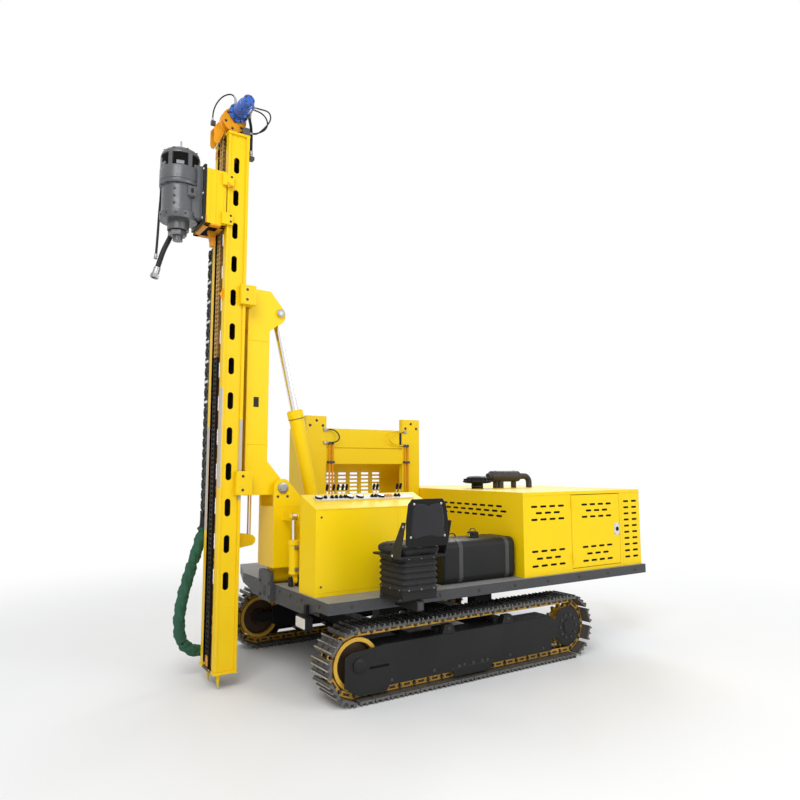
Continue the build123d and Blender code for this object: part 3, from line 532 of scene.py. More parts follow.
def idler_iron():
    """Idler casting: a bright golden rim outside 0.158 m from the axle, dark brown iron inside."""
    material = surface("idler iron", (0.085, 0.05, 0.024), (0.05, 0.03, 0.018), 0.45, metal=0.35)
    tree = material.node_tree
    tint = tree.nodes["Principled BSDF"].inputs["Base Color"]
    reach = new_node(tree, "VectorMath", new_node(tree, "TexCoord").outputs["Object"],
                     (0, -axle_y, axle_z), operation="SUBTRACT")
    flat = new_node(tree, "VectorMath", reach.outputs[0], (0, 1, 1), operation="MULTIPLY")
    length = new_node(tree, "VectorMath", flat.outputs[0], operation="LENGTH")
    ramp = new_node(tree, "MapRange", length.outputs["Value"], From_Min=0.152, From_Max=0.16)
    rim = new_node(tree, "Mix", data_type="RGBA", Factor=ramp.outputs[0],
                   A=tint.links[0].from_socket, B=(0.72, 0.43, 0.05, 1))
    tree.links.new(rim.outputs["Result"], tint)
    return material


vinyl = vinyl_cover()
idler = idler_iron()

looks = {
    "track_frame_left": black, "track_frame_right": black, "chassis": black,
    "idlers": idler, "sprockets": brass, "rollers": black,
    "deck": dark, "front_beam": dark, "tilt_bracket": black, "fuel_tank": black,
    "seat_base": black, "seat_pan": black, "engine_block": dark, "spindle": grey,
    "fold_rod": chrome, "lift_rod": chrome, "tilt_rod": chrome,
    "mast": gold, "carriage": gold,
}
for name, node in nodes.items():
    node.data.materials.clear()
    node.data.materials.append(looks.get(name, yellow))


# Floor, air and lights
def floor_surface():
    """Pale floor that turns plain white to the camera 7.5 m out, and keeps its shadows nearer."""
    material = surface("pale floor", (0.9, 0.9, 0.9), (0.885, 0.885, 0.885), 0.6, bump=0.0,
                       scale=0.05)
    tree = material.node_tree
    length = new_node(tree, "VectorMath", new_node(tree, "TexCoord").outputs["Object"],
                      operation="LENGTH")
    far = new_node(tree, "MapRange", length.outputs["Value"], From_Min=2.6, From_Max=7.5,
                   interpolation_type="SMOOTHSTEP")
    ray = new_node(tree, "LightPath").outputs
    seen = new_node(tree, "Math", ray["Is Camera Ray"], ray["Is Glossy Ray"], operation="MAXIMUM")
    share = new_node(tree, "Math", far.outputs[0], seen.outputs[0], operation="MULTIPLY")
    white = new_node(tree, "Emission", Strength=1.0)
    blend = new_node(tree, "MixShader", share.outputs[0],
                     tree.nodes["Principled BSDF"].outputs[0], white.outputs[0])
    tree.links.new(blend.outputs[0], tree.nodes["Material Output"].inputs["Surface"])
    return material


bpy.ops.mesh.primitive_plane_add(size=400, location=(0, 0, -0.001))
floor = bpy.context.object
floor.name = "floor"
floor.data.materials.append(floor_surface())


def studio_air():
    """World that is white to the camera, through glass and in mirrors, and lights at 0.56."""
    world = bpy.data.worlds.new("studio")
    world.use_nodes = True
    tree = world.node_tree
    tree.nodes.clear()
    ray = new_node(tree, "LightPath").outputs
    straight = new_node(tree, "Math", ray["Is Camera Ray"], ray["Is Transmission Ray"],
                        operation="MAXIMUM")
    seen = new_node(tree, "Math", straight.outputs[0], ray["Is Glossy Ray"], operation="MAXIMUM")
    lit = new_node(tree, "Background", (0.96, 0.98, 1, 1), 0.56)
    white = new_node(tree, "Background", (1, 1, 1, 1), 1.0)
    pick = new_node(tree, "MixShader", seen.outputs[0], lit.outputs[0], white.outputs[0])
    new_node(tree, "OutputWorld", pick.outputs[0])
    return world


scene.world = studio_air()


def area_light(name, place, aim, size, watts):
    """A soft square light at place that looks at aim."""
    data = bpy.data.lights.new(name, "AREA")
    data.size = size
    data.energy = watts
    lamp = bpy.data.objects.new(name, data)
    scene.collection.objects.link(lamp)
    way = np.subtract(aim, place)
    lamp.location = place
    lamp.rotation_euler = (math.atan2(math.hypot(way[0], way[1]), -way[2]), 0,
                           math.atan2(-way[0], way[1]))


area_light("key", (7.0, -6.5, 9.0), (0, 0, 1.0), 6.0, 690)
area_light("side", (9.5, 3.5, 5.0), (0, 0.5, 1.0), 5.0, 260)
area_light("rear", (-6, 7, 7), (0, 0, 2.0), 5.0, 350)


# Tracks
def shoes_and_links(side):
    """One track: grouser shoes with polished tips, bolts, gold links and their pins."""
    half, wide = shoe_pitch / 2 - 0.004, shoe_half_width
    shoe = box((-wide, -half, -0.004), (wide, half, 0.012))
    grouser = side_plate([(-0.011, 0.011), (0.011, 0.011), (0.0045, 0.03), (-0.0045, 0.03)],
                         -wide, wide, 0.001)
    tip = box((0.002 - wide, -0.0048, 0.0293), (wide - 0.002, 0.0048, 0.0312), 0.0008)
    ridges = frames([(0, y, 0) for y in (-0.05, 0.0, 0.05)])
    rails = (-0.045, 0.045)
    heads = bolts(0.008, [(x, y, 0.012) for x in rails for y in (-0.026, 0.026)], upward)
    turn = np.linspace(-np.pi / 2, np.pi / 2, 6)
    ends, rise = 0.062 + 0.022 * np.cos(turn), -0.03 + 0.022 * np.sin(turn)
    outline = np.r_[np.c_[ends, rise], np.c_[-ends[::-1], rise[::-1]]]
    links = joined(*(side_plate(outline, x - 0.0065, x + 0.0065) for x in rails))
    # The link windows are solid dark brown boxes: greasy iron of the bushings, and painted shade of
    # the holes
    windows = joined(*(box((x - 0.0075, -0.028, -0.04), (x + 0.0075, 0.028, -0.02))
                       for x in rails))
    along = (np.arange(shoe_count) + 0.5) * shoe_pitch
    middle = np.array((side * track_x, 0, 0))
    base, out = on_track(along, shoe_base)
    joint, joint_out = on_track(along + shoe_pitch / 2, shoe_base - 0.03)
    places = frames(base + middle, out)
    pins = placed(rod((-0.066, 0, 0), (0.066, 0, 0), 0.013, 12), frames(joint + middle, joint_out))
    return [(placed(joined(shoe, placed(grouser, ridges)), places), shoe_steel),
            (placed(placed(tip, ridges), places), bright), (placed(heads, places), iron),
            (placed(links, places), brass), (placed(windows, places), brown), (pins, iron)]


def track_details(side):
    """Skirt, chain guide, drive cover, idler cap and roller supports, with caps and bolts."""
    out, face = (side, 0, 0), side * skirt_face
    skirt = side_plate([(-1.17, 0.104), (-1.1, 0.062), (-0.86, 0.062), (-0.835, 0.098),
                        (0.886, 0.098), (0.886, 0.392), (-0.905, 0.392), (-1.17, 0.372),
                        (-1.22, 0.345), (-1.22, 0.135)], side * 1.014 - 0.0075,
                       side * 1.014 + 0.0075)
    guide = side_plate([(-0.215, 0.052), (0.165, 0.052), (0.185, 0.12), (-0.235, 0.12)],
                       side * 1.016 - 0.0065, side * 1.016 + 0.0065)
    middle = side * track_x
    roof = box((middle - 0.095, -0.905, 0.389), (middle + 0.095, 0.886, 0.396))
    drum = turned([(0.172, 0), (0.172, 0.004), (0.15, 0.01), (0.128, 0.012), (0.06, 0.014),
                   (0.056, 0.024)], (side * 1.004, axle_y, axle_z), out, 40)
    idler_cap = turned([(0.052, 0), (0.052, 0.012), (0.044, 0.018), (0.02, 0.02)],
                       (face, -axle_y, axle_z), out)
    supports = [side_plate([(y - 0.068, 0.388), (y + 0.068, 0.388), (y + 0.04, 0.462),
                            (y - 0.04, 0.462)], side * 0.985 - 0.03, side * 0.985 + 0.03)
                for y in support_y]
    # The yoke slot is a thin plate in painted shade
    yoke = side_plate(rounded(0.176, 0.02, 0.009) + (-0.928, 0.2475), face - 0.0008,
                      face + 0.0008, 0.0003)
    low = [(face, y, z) for y, z in (
        (-0.818, 0.131), (-0.42, 0.136), (-0.17, 0.13), (-0.118, 0.134), (-0.023, 0.135),
        (0.073, 0.136), (0.127, 0.136), (0.379, 0.134), (0.777, 0.13))]
    ring = circle(10, 0.1, (side * 1.019, axle_y, axle_z))
    heads = joined(bolts(0.009, low, out), bolts(0.009, ring, out),
                   bolts(0.01, [(side * 1.015, y, 0.432) for y in support_y], out))
    caps = turned([(0.034, 0), (0.034, 0.01), (0.024, 0.016)],
                  [(side * 0.978, y, 0.14) for y in np.linspace(-0.66, 0.66, 5)], out, 20)
    return [(joined(skirt, guide, roof, drum, idler_cap, *supports), black), (yoke, opening_shade),
            (heads, iron), (caps, brown)]


for side_name, side in sides.items():
    piece(f"track_{side_name}_shoes", shoes_and_links(side),
          instead=(f"track_{side_name}",))
    piece(f"track_{side_name}_details", track_details(side))


# Mast: chains, drive and wear
def roller_chain():
    """Feed chain: four plates and a roller a link, up the mast, over the drum and down."""
    pitch, foot, end = 0.0381, 0.15, 4.54
    radius = drum_y - chain_y
    up = polyline(0, chain_y, foot + pitch * np.arange(int((drum_z - foot) / pitch)))
    count = int(np.pi * radius / pitch)
    angle = np.pi - (np.arange(count) + 0.5) * np.pi / count
    over = polyline(0, drum_y + radius * np.cos(angle), drum_z + radius * np.sin(angle))
    steps = np.arange(int((drum_z - end) / pitch))
    down = polyline(0, drum_y + radius, drum_z - pitch * (0.5 + steps))
    middle = np.r_[up, over, down]
    way = np.gradient(middle, axis=0)
    way /= np.linalg.norm(way, axis=1, keepdims=True)
    turn = np.linspace(-np.pi / 2, np.pi / 2, 4)
    waist = np.c_[0.014 + 0.011 * np.cos(turn), 0.012 * np.sin(turn)]
    plates = [plate(np.r_[waist, -waist], x - 0.0016, x + 0.0016, 0.0004)
              for x in (-0.034, -0.018, 0.018, 0.034)]
    roller = lathe([(0.01, -0.034), (0.01, 0.034)], 10)
    return placed(joined(*plates, roller), frames(middle, leftward, way))


def energy_links():
    """Hose carrier: grey side links, crossbars that are bright from 2.2 m up, hoses inside."""
    pitch, count, foot = 0.0873, 26, 1.352
    low = foot + pitch * np.arange(count)
    middle = low + pitch / 2

    def raised(shape, heights):
        return placed(shape, frames([(0, 0, z) for z in heights]))

    outline = rounded(0.058, 0.094, 0.02) + (carrier_y, 0)
    links = [raised(side_plate(outline, x + 0.0015 * odd, x + 0.0065 + 0.0015 * odd),
                    middle[odd::2]) for x in (-0.296, -0.224) for odd in (0, 1)]
    pivots = raised(rod((-0.2975, carrier_y, 0), (-0.2145, carrier_y, 0), 0.011, 12), low[1:])
    bar = box((-0.296, -1.893, -0.011), (-0.216, -1.884, 0.011), 0.0015)
    back = box((-0.289, -1.84, -0.007), (-0.223, -1.833, 0.007), 0.0015)
    shown = (middle > 2.2) & (np.arange(count) % 2 == 0)
    inner = [rod((x, carrier_y, foot), (x, carrier_y, 3.618), 0.013, 10) for x in (-0.273, -0.245)]
    holders = [box((-0.216, -1.85, z), (-0.162, -1.842, z + 0.06))
               for z in (1.36, 2.05, 2.75, 3.5)]
    end = box((-0.296, -1.893, 1.304), (-0.216, -1.833, 1.35), 0.006)
    return [(joined(*links, pivots), chain_side), (raised(bar, middle[shown]), silver),
            (joined(raised(bar, middle[~shown]), raised(back, middle), end), plastic),
            (joined(*inner), rubber), (joined(*holders), gold)]


def drive_head():
    """Chain drum and sprocket with their cheek and guard plates, stand, block and bolts."""
    sprocket = turned([(0.04, -0.038), (0.046, -0.034), (0.046, 0.034), (0.04, 0.038)],
                      (0, drum_y, drum_z), leftward, 24)
    drum = turned([(0.046, 0.044), (0.105, 0.046), (0.105, 0.056), (0.092, 0.06), (0.092, 0.112),
                   (0.105, 0.118), (0.105, 0.128), (0.06, 0.13)],
                  (0, drum_y - 0.007, drum_z), leftward, 36)
    cheek = [(-1.893, 4.535), (-1.893, 4.69), (-1.85, 4.74), (-1.785, 4.725), (-1.745, 4.64),
             (-1.745, 4.535)]
    guard = [(-1.985, 4.47), (-1.955, 4.445), (-1.935, 4.48), (-1.897, 4.56), (-1.897, 4.64),
             (-1.95, 4.65), (-1.985, 4.6)]
    plates = [side_plate(cheek, x, x + 0.012) for x in (-0.068, 0.046)]
    plates += [side_plate(guard, x, x + 0.008) for x in (-0.054, 0.046)]
    axle = rod((-0.08, drum_y, drum_z), (0.14, drum_y, drum_z), 0.024)
    block = box((0.092, -1.77, 4.535), (0.172, -1.712, 4.606), 0.004)
    stand = box((-0.09, -1.88, 4.535), (0.13, -1.735, 4.56), 0.003)
    ring = circle(6, 0.08, (0.13, drum_y - 0.007, drum_z), 0.3)
    heads = joined(bolts(0.008, ring, leftward), bolts(0.01, (-0.058, -1.96, 4.468), rightward))
    return [(joined(drum, *plates, stand), orange), (joined(sprocket, axle, heads), iron),
            (block, grey)]


def drive_motor():
    """Hydraulic motor on the drum's end: flange, ribbed body, cap and two ports."""
    body = turned([(0.08, 0.13), (0.085, 0.134), (0.085, 0.15), (0.064, 0.154), (0.062, 0.16),
                   (0.062, 0.196), (0.066, 0.2), (0.066, 0.214), (0.062, 0.218), (0.062, 0.3),
                   (0.056, 0.322), (0.05, 0.326), (0.05, 0.384), (0.044, 0.392)],
                  (0, motor_y, motor_z), leftward, 36)
    ring = circle(8, 0.075, (0.15, motor_y, motor_z), 0.2)
    cap = circle(5, 0.036, (0.391, motor_y, motor_z))
    ports = [box((x - 0.017, motor_y + 0.04, motor_z - 0.022),
                 (x + 0.017, motor_y + 0.071, motor_z + 0.022), 0.003) for x in (0.262, 0.3)]
    collar = rod((0.186, motor_y, motor_z), (0.19, motor_y, motor_z), 0.0665, 36)
    return [(joined(body, *ports), blue),
            (joined(bolts(0.008, ring, leftward), bolts(0.006, cap, leftward), collar), iron)]


def mast_details():
    """Orange trough edges as painted shade on the trough's side walls, head band, chain anchor and
    stop, head bolts and two gold seams.
    """
    # Painted shade: orange strips on the trough's side walls
    edges = [box((x, -1.894, 0.16), (x + 0.006, -1.862, 4.4), 0.001) for x in (-0.112, 0.1)]
    band = box((-0.166, -1.897, 4.406), (-0.106, -1.714, 4.479))
    anchor = box((-0.03, -1.9, 0.15), (0.03, -1.872, 0.235), 0.004)
    wedge = side_plate([(-1.925, 3.13), (-1.893, 3.18), (-1.893, 3.08)], 0.128, 0.138)
    heads = bolts(0.01, [(x, y, 4.535) for x in (-0.15, 0.15) for y in (-1.875, -1.735)],
                  upward)
    seams = [box((-0.1635, -1.8715, z), (0.1635, -1.739, z + 0.004), 0.001) for z in (0.62, 2.62)]
    return [(joined(*edges, anchor, wedge, band), orange), (heads, iron),
            (joined(*seams), gold)]


piece("feed_chain_links", [(roller_chain(), chain)], "mast",
      instead=("feed_chain",))
piece("energy_chain_links", energy_links(), "mast", instead=("energy_chain",))
piece("drive_head", drive_head(), "mast")
piece("drive_motor", drive_motor(), "mast", instead=("feed_drive",))
piece("mast_details", mast_details(), "mast")


# Carriage and rotary head
def head_casing():
    """Rotary head: base ring, body, flange, recessed band under the dome, stem and saddle."""
    axis, level = (0, head_y, 0), (0, 1)
    casing = turned([(0.086, 3.64), (0.086, 3.715), (0.148, 3.715), (0.15, 3.72),
                     (0.15, 3.776), (0.142, 3.782), (0.14, 3.79), (0.14, 3.998),
                     (0.16, 4.002), (0.162, 4.008), (0.162, 4.026), (0.157, 4.03),
                     (0.157, 4.034), (0.162, 4.04), (0.162, 4.14), (0.158, 4.149),
                     (0.144, 4.15), (0.144, 4.254), (0.156, 4.257), (0.155, 4.268),
                     (0.148, 4.286), (0.132, 4.303), (0.108, 4.318), (0.068, 4.331),
                     (0.02, 4.335)], axis, sides=64)
    # The ring in the recessed band is painted shade in the groove under the dome
    band = turned([(0.1455, 4.152), (0.1455, 4.255)], axis, sides=64)
    stem = turned([(0.012, 4.33), (0.012, 4.336), (0.008, 4.34), (0.008, 4.41),
                   (0.005, 4.415)], axis, sides=16)
    saddle = box((-0.118, -2.18, 3.735), (0.118, -2.078, 4.19), 0.006)
    plate_back = box((-0.16, -2.09, 3.705), (0.16, -2.0685, 4.2), 0.003)
    port = joined(box((0.118, -2.215, 3.9), (0.152, -2.15, 3.99), 0.004),
                  box((0.15, -2.206, 3.91), (0.158, -2.159, 3.98), 0.002))
    # The black oval on the port's face is painted shade of its opening
    oval = side_plate(rounded(0.026, 0.044, 0.0125) + (-2.1825, 3.945), 0.156, 0.1595, 0.0008)
    arms = carousel(box((0.143, -0.016, 4.145), (0.158, 0.016, 4.26), 0.004), 6, axis, 0.25)
    lugs = carousel(box((0.143, -0.03, 4.148), (0.157, 0.03, 4.186), 0.006), 6, axis,
                    0.25 + np.pi / 6)
    dome = bolts(0.009, circle(8, 0.132, (0, head_y, 4.3), 0.1, level), upward)
    edge = bolts(0.008, circle(12, 0.15, (0, head_y, 4.003), 0.1, level), downward)
    collar = carousel(bolts(0.007, (0.15, 0, 3.748), leftward), 12, axis, 0.1)
    column = placed(bolts(0.008, [(0.14, 0, z) for z in (3.83, 3.89, 3.95)], leftward),
                    frames(axis, upward, (math.cos(-0.55), math.sin(-0.55), 0)))
    back_bolts = bolts(0.01, [(x, -2.09, z) for x in (-0.142, 0.142)
                              for z in (3.74, 3.95, 4.16)], forward)
    return [(joined(casing, saddle, port, arms), grey), (joined(plate_back, oval), black),
            (band, opening_shade), (stem, zinc), (lugs, grey_light), (joined(dome, back_bolts), bright),
            (joined(edge, collar, column), iron)]


def carriage_details():
    """Ribs on the side, small orange stops and the orange lower frame, its window painted in shade.
    """
    stops = both(lambda side: side_plate([(-1.905, 4.07), (-1.862, 4.045), (-1.905, 4.02)],
                                         side * 0.1985 - 0.004, side * 0.1985 + 0.004, 0.001))
    lower = boxes(((-0.172, -2.07, 3.684, 0.172, -2.03, 3.7),
                   (-0.172, -1.945, 3.684, 0.172, -1.905, 3.7),
                   (-0.172, -2.07, 3.684, -0.12, -1.905, 3.7),
                   (0.12, -2.07, 3.684, 0.172, -1.905, 3.7),
                   (-0.172, -2.071, 3.7, -0.14, -2.06, 3.76),
                   (0.14, -2.071, 3.7, 0.172, -2.06, 3.76),
                   (-0.028, -1.972, 3.56, 0.028, -1.936, 3.64)))
    # The window is a thin plate in painted shade
    window = box((-0.122, -2.032, 3.688), (0.122, -1.943, 3.692), 0.001)
    anchor = side_plate([(-1.978, 3.6), (-1.955, 3.6), (-1.934, 3.69), (-1.998, 3.69)],
                        -0.02, 0.02)
    heads = bolts(0.007, [(0.199, -1.87, z) for z in (3.735, 3.785, 4.12)], leftward)
    ribs = [box((0.168, y, 3.7), (0.173, y + 0.008, 4.16), 0.001)
            for y in (-2.04, -1.99, -1.925)]
    return [(joined(stops, lower, anchor), orange), (window, opening_shade), (heads, iron),
            (joined(*ribs), gold)]


piece("rotary_head_casing", head_casing(), "carriage", instead=("rotary_head",))
piece("carriage_details", carriage_details(), "carriage")


# Boom, base and cylinders
def boom_details():
    """Claw plates with their bolts, nose pin caps, flange bolts, ports in black painted shade and
    two ribs.
    """
    claw_ends = ((3.055, 3.218), (1.492, 1.682))

    def wing(side):
        plates = [box((side * 0.2135 - 0.002, -1.766, low + 0.004),
                      (side * 0.2135 + 0.002, -1.65, high - 0.004), 0.001)
                  for low, high in claw_ends]
        ribs = [box((side * 0.1005 - 0.003, -1.652, z), (side * 0.1005 + 0.003, -1.47, z + 0.008),
                    0.001) for z in (1.9, 2.78)]
        heads = bolts(0.008, [(side * 0.2155, -1.715, z) for low, high in claw_ends
                              for z in (low + 0.04, high - 0.04)], (side, 0, 0))
        cap = turned([(0.034, 0), (0.034, 0.006), (0.022, 0.009)], (side * 0.119, -1.371, 3.04),
                     (side, 0, 0))
        # The port is a flat black plate in painted shade of the opening
        port = box((side * 0.1005 - 0.0015, -1.596, 2.215), (side * 0.1005 + 0.0015, -1.55, 2.3),
                   0.001)
        return [(joined(*plates), gold), (joined(*ribs), yellow), (heads, iron), (cap, zinc),
                (port, black)]

    flange = bolts(0.01, [(x, -1.6335, z) for x in (-0.105, 0.105)
                          for z in (1.515, 1.66, 3.08, 3.19)], rearward)
    return wing(1) + wing(-1) + [(flange, iron)]


def base_details():
    """Boom pin caps with their keeper bolts, a cheek seam, and the fold cylinder's eye rings."""
    pin_cap = [(0.046, 0), (0.046, 0.01), (0.03, 0.014), (0.028, 0.018)]
    eye_ring = [(0.04, 0), (0.04, 0.008), (0.026, 0.012)]

    def cheek(side):
        out, face = (side, 0, 0), side * 0.161
        seam = box((side * 0.1612 - 0.0012, -1.418, 1.383), (side * 0.1612 + 0.0012, -1.152, 1.387),
                   0.0006)
        return [(turned(pin_cap, (face, -1.343, 1.54), out, 32), zinc),
                (bolts(0.008, [(face, y, 1.47) for y in (-1.3, -1.386)], out), iron),
                (seam, gold), (turned(eye_ring, (side * 0.091, *fold_foot[1:]), out), yellow)]

    return cheek(1) + cheek(-1)


def along_cylinder(foot, head, rings):
    """Collars on a cylinder from foot towards head; rings are (distance, radius, length)."""
    foot, head = np.asarray(foot, float), np.asarray(head, float)
    way = (head - foot) / np.linalg.norm(head - foot)
    return joined(*(rod(foot + way * at, foot + way * (at + length), radius, 36)
                    for at, radius, length in rings))


fold_foot, fold_head = (0, -0.881, 1.0), (0, -1.371, 3.04)
tilt_foot, tilt_head = (0.32, -1.302, 0.806), (0.296, -1.302, 1.307)
piece("boom_details", boom_details(), "boom")
piece("base_details", base_details(), "base")
piece("fold_collars", [
    (along_cylinder(fold_foot, fold_head, ((0.105, 0.069, 0.03), (1.236, 0.06, 0.012))), yellow),
    (along_cylinder(fold_foot, fold_head, ((1.168, 0.0722, 0.006),)), dark)], "fold_barrel")
piece("tilt_collars", [
    (along_cylinder(tilt_foot, tilt_head, ((0.276, 0.05, 0.04), (0.052, 0.047, 0.014))), yellow),
    (boxes(((0.352, -1.318, 0.88, 0.376, -1.286, 0.912),
            (0.343, -1.318, 1.05, 0.366, -1.286, 1.082)), 0.003), zinc)], "tilt_barrel")


# Deck skin, front beam and lamp
def deck_skin():
    """Pale mottled tread skin on the deck, cut out round the side tilt pivot; its pale grey is
    partly the tread plate's own colour and partly painted light on the top.
    """
    outline = [(0.125, -1.393), (1.083, -1.393), (1.083, 2.163), (-1.083, 2.163), (-1.083, -1.224),
               (-0.559, -1.393), (-0.125, -1.393), (-0.125, -1.166), (0.125, -1.166)]
    return [(plate(outline, deck_top - 0.001, deck_top + 0.0015, 0.0005), plate_grey)]


def beam_details():
    """Work lamp under the deck's front corner, pivot plate's oval hole in black painted shade, and
    the edge bolts.
    """
    bolt_z = 0.715

    def facing_front(outline, low, high, edge, place):
        return placed(plate(outline, low, high, edge), frames(place, forward, leftward))

    lamp = (0.77, -1.398, 0.578)
    shell = facing_front(rounded(0.172, 0.096, 0.014), 0, 0.06, 0.004, lamp)
    pane = facing_front(rounded(0.15, 0.074, 0.01), 0.058, 0.0635, 0.002, lamp)
    bracket = box((0.752, -1.424, 0.61), (0.788, -1.394, 0.7), 0.003)
    # The oval hole is a flat plate in black painted shade
    oval = facing_front(rounded(0.05, 0.08, 0.024), 0, 0.0015, 0.0004, (0, -1.4255, 0.69))
    heads = joined(
        bolts(0.011, [(x, -1.425, z) for x in (-0.092, 0.092) for z in (0.65, 0.76)], forward),
        bolts(0.009, [(x, -1.395, bolt_z) for x in (0.25, 0.45, 0.65, 0.95)], forward),
        bolts(0.009, [(1.085, y, bolt_z) for y in np.linspace(-1.2, 2.0, 9)], leftward))
    return [(joined(shell, bracket), plastic), (pane, glass), (oval, black), (heads, iron)]


piece("deck_skin", deck_skin())
piece("beam_details", beam_details())


# Console and its controls
def console_details():
    """Pale control strip on the console's slope with levers, gauges, knobs and edge seams.

    A spot on the slope is its top edge plus a length along it, plus a lift square to it.
    """
    low, high = np.array((0.842, 1.4)), np.array((0.572, 1.498))
    slope = (low - high) / np.linalg.norm(low - high)
    rise = np.array((-slope[1], slope[0]))
    lever_y = (-1.208, -1.149, -1.11, -1.068, -1.032, -0.777, -0.744, -0.548, -0.515)
    gauge_y = (-1.265, -0.985, -0.892, -0.69)

    def on_slope(shape, along, across, lift=0.009):
        places = [(x, y, z) for x, z in (high + slope * at + rise * lift for at in along)
                  for y in across]
        return placed(shape, frames(places, (rise[0], 0, rise[1]), rearward))

    middle = (0.097,)
    strip = on_slope(box((-0.46, -0.037, 0), (0.46, 0.037, 0.01)), middle, (-0.84,), 0)
    sticks = on_slope(lathe([(0.01, 0), (0.01, 0.006), (0.005, 0.01), (0.005, 0.07)], 12),
                      middle, lever_y)
    grips = on_slope(lathe([(0.007, 0.062), (0.01, 0.068), (0.0115, 0.09), (0.0105, 0.108),
                            (0.006, 0.114)], 16), middle, lever_y)
    boots = on_slope(lathe([(0.017, 0), (0.016, 0.006), (0.012, 0.012), (0.012, 0.016),
                            (0.007, 0.024)], 16), middle, lever_y)
    rims = on_slope(lathe([(0.031, 0), (0.031, 0.016), (0.028, 0.019), (0.026, 0.016)], 28),
                    middle, gauge_y)
    dials = on_slope(lathe([(0.027, 0.012), (0.027, 0.0175)], 28), middle, gauge_y)
    hands = on_slope(box((-0.001, -0.004, 0.0175), (0.001, 0.02, 0.0185), 0.0004), middle,
                     gauge_y)
    knobs = on_slope(lathe([(0.009, 0), (0.008, 0.014), (0.005, 0.016)], 14), (0.085, 0.109),
                     (-0.64, -0.615, -0.59))
    seams = joined(box((0.838, -1.378, 1.392), (0.8445, -0.298, 1.402), 0.001),
                   box((0.572, -1.3785, 0.76), (0.584, -1.3755, 1.48), 0.001),
                   box((0.8415, -0.64, 0.79), (0.8432, -0.636, 1.38), 0.0004),
                   box((0.8415, -1.34, 0.786), (0.8432, -0.33, 0.79), 0.0004))
    heads = bolts(0.006, [(0.842, y, z) for y in (-1.33, -0.35) for z in (0.83, 1.34)], leftward)
    return [(strip, pale), (sticks, chrome), (joined(grips, boots), plastic),
            (joined(rims, hands), black), (dials, dial), (knobs, orange), (seams, gold),
            (heads, iron)]


piece("console_details", console_details())


# Seat
def points_of(mesh):
    """The mesh's points as rows of x, y, z."""
    points = np.empty(3 * len(mesh.vertices))
    mesh.vertices.foreach_get("co", points)
    return points.reshape(-1, 3)


def solid_of(name, shape, material):
    """Bare object of a shape, for the cloth step."""
    mesh = bpy.data.meshes.new(name)
    points, faces = shape
    mesh.from_pydata(points.tolist(), [], [tuple(row) for rows in faces for row in rows.tolist()])
    mesh.materials.append(material)
    made = bpy.data.objects.new(name, mesh)
    scene.collection.objects.link(made)
    return made


def settle(made):
    """Gives an object the mesh that its modifiers make at the present frame, and drops them."""
    graph = bpy.context.evaluated_depsgraph_get()
    made.data = bpy.data.meshes.new_from_object(made.evaluated_get(graph))
    made.modifiers.clear()


def stuffed(name, shape, normal_axis, half_size, seam_inset, cap, node):
    """Padded form: a remeshed shape blown up as cloth, capped, then sewn along a border line.

    A point at distance d from a seam sinks by depth times exp(-(d / width)^2). The border runs
    inside the edge on a rounded rectangle, where the sixth powers of the two coordinates' shares
    add to 1, and a crease runs on each side of the middle.
    """
    made = solid_of(name, shape, vinyl)
    remesh = made.modifiers.new("remesh", "REMESH")
    remesh.mode = "VOXEL"
    remesh.voxel_size = 0.006
    settle(made)
    start = points_of(made.data)
    last_frame = 20
    blow = made.modifiers.new("cloth", "CLOTH")
    blow.settings.use_pressure = True
    blow.settings.uniform_pressure_force = 4.0
    blow.settings.effector_weights.gravity = 0.0
    blow.settings.quality = 5
    blow.point_cache.frame_end = last_frame
    for step in range(1, last_frame + 1):
        scene.frame_set(step)
    settle(made)
    scene.frame_set(1)
    moved = points_of(made.data) - start
    reach = np.linalg.norm(moved, axis=1, keepdims=True)
    points = start + moved * np.minimum(1, cap / np.maximum(reach, 1e-9))
    middle = (start.min(0) + start.max(0)) / 2
    flat = [axis for axis in range(3) if axis != normal_axis]
    facing = -1 if normal_axis == 0 else 1
    local = np.abs(points - middle)[:, flat] / (np.array(half_size) - seam_inset)
    level = (local ** 6).sum(1)
    border = np.abs(level ** (1 / 6) - 1) * (min(half_size) - seam_inset)
    face = facing * (points[:, normal_axis] - middle[normal_axis]) > 0
    aside = np.abs(points[:, flat[0]] - middle[flat[0]])
    crease_at, border_depth, crease_depth = 0.055, 0.006, 0.004
    sunk = (border_depth * np.exp(-(border / 0.006) ** 2) * face
            + crease_depth * np.exp(-((aside - crease_at) / 0.005) ** 2) * face * (level < 1))
    points[:, normal_axis] -= facing * sunk
    made.data.vertices.foreach_set("co", points.ravel())
    made.data.update()
    made.data.shade_smooth()
    finish = made.modifiers.new("smooth", "SUBSURF")
    finish.levels = finish.render_levels = 1
    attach(made, "root")
    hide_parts(node)


def mirrored_outline(half):
    """Outline of its half on the +X side, from the bottom up, and the mirror image of that."""
    half = np.asarray(half, float)
    return np.r_[half, half[::-1] * (-1, 1)]


def on_back(outline, low, high, edge, x):
    """Plate of a (y, z) outline about the middle of the backrest, from x + low to x + high."""
    return placed(plate(outline, low, high, edge), frames((x, seat_y, 1.34), leftward, rearward))


cushion_shape = placed(plate(rounded(0.392, 0.362, 0.055, 6), 0, 0.044, 0.01),
                       frames((seat_x, seat_y, 1.0965)))
stuffed("seat_cushion_pad", cushion_shape, 2, (0.196, 0.181), 0.042, 0.022, "seat_cushion")
back_outline = mirrored_outline([(0.162, -0.15), (0.184, -0.128), (0.178, 0.0), (0.16, 0.112),
                                 (0.13, 0.144)])
stuffed("seat_back_pad", on_back(back_outline, -0.016, 0.016, 0.008, 1.438), 0, (0.178, 0.14),
        0.034, 0.018, "seat_back")


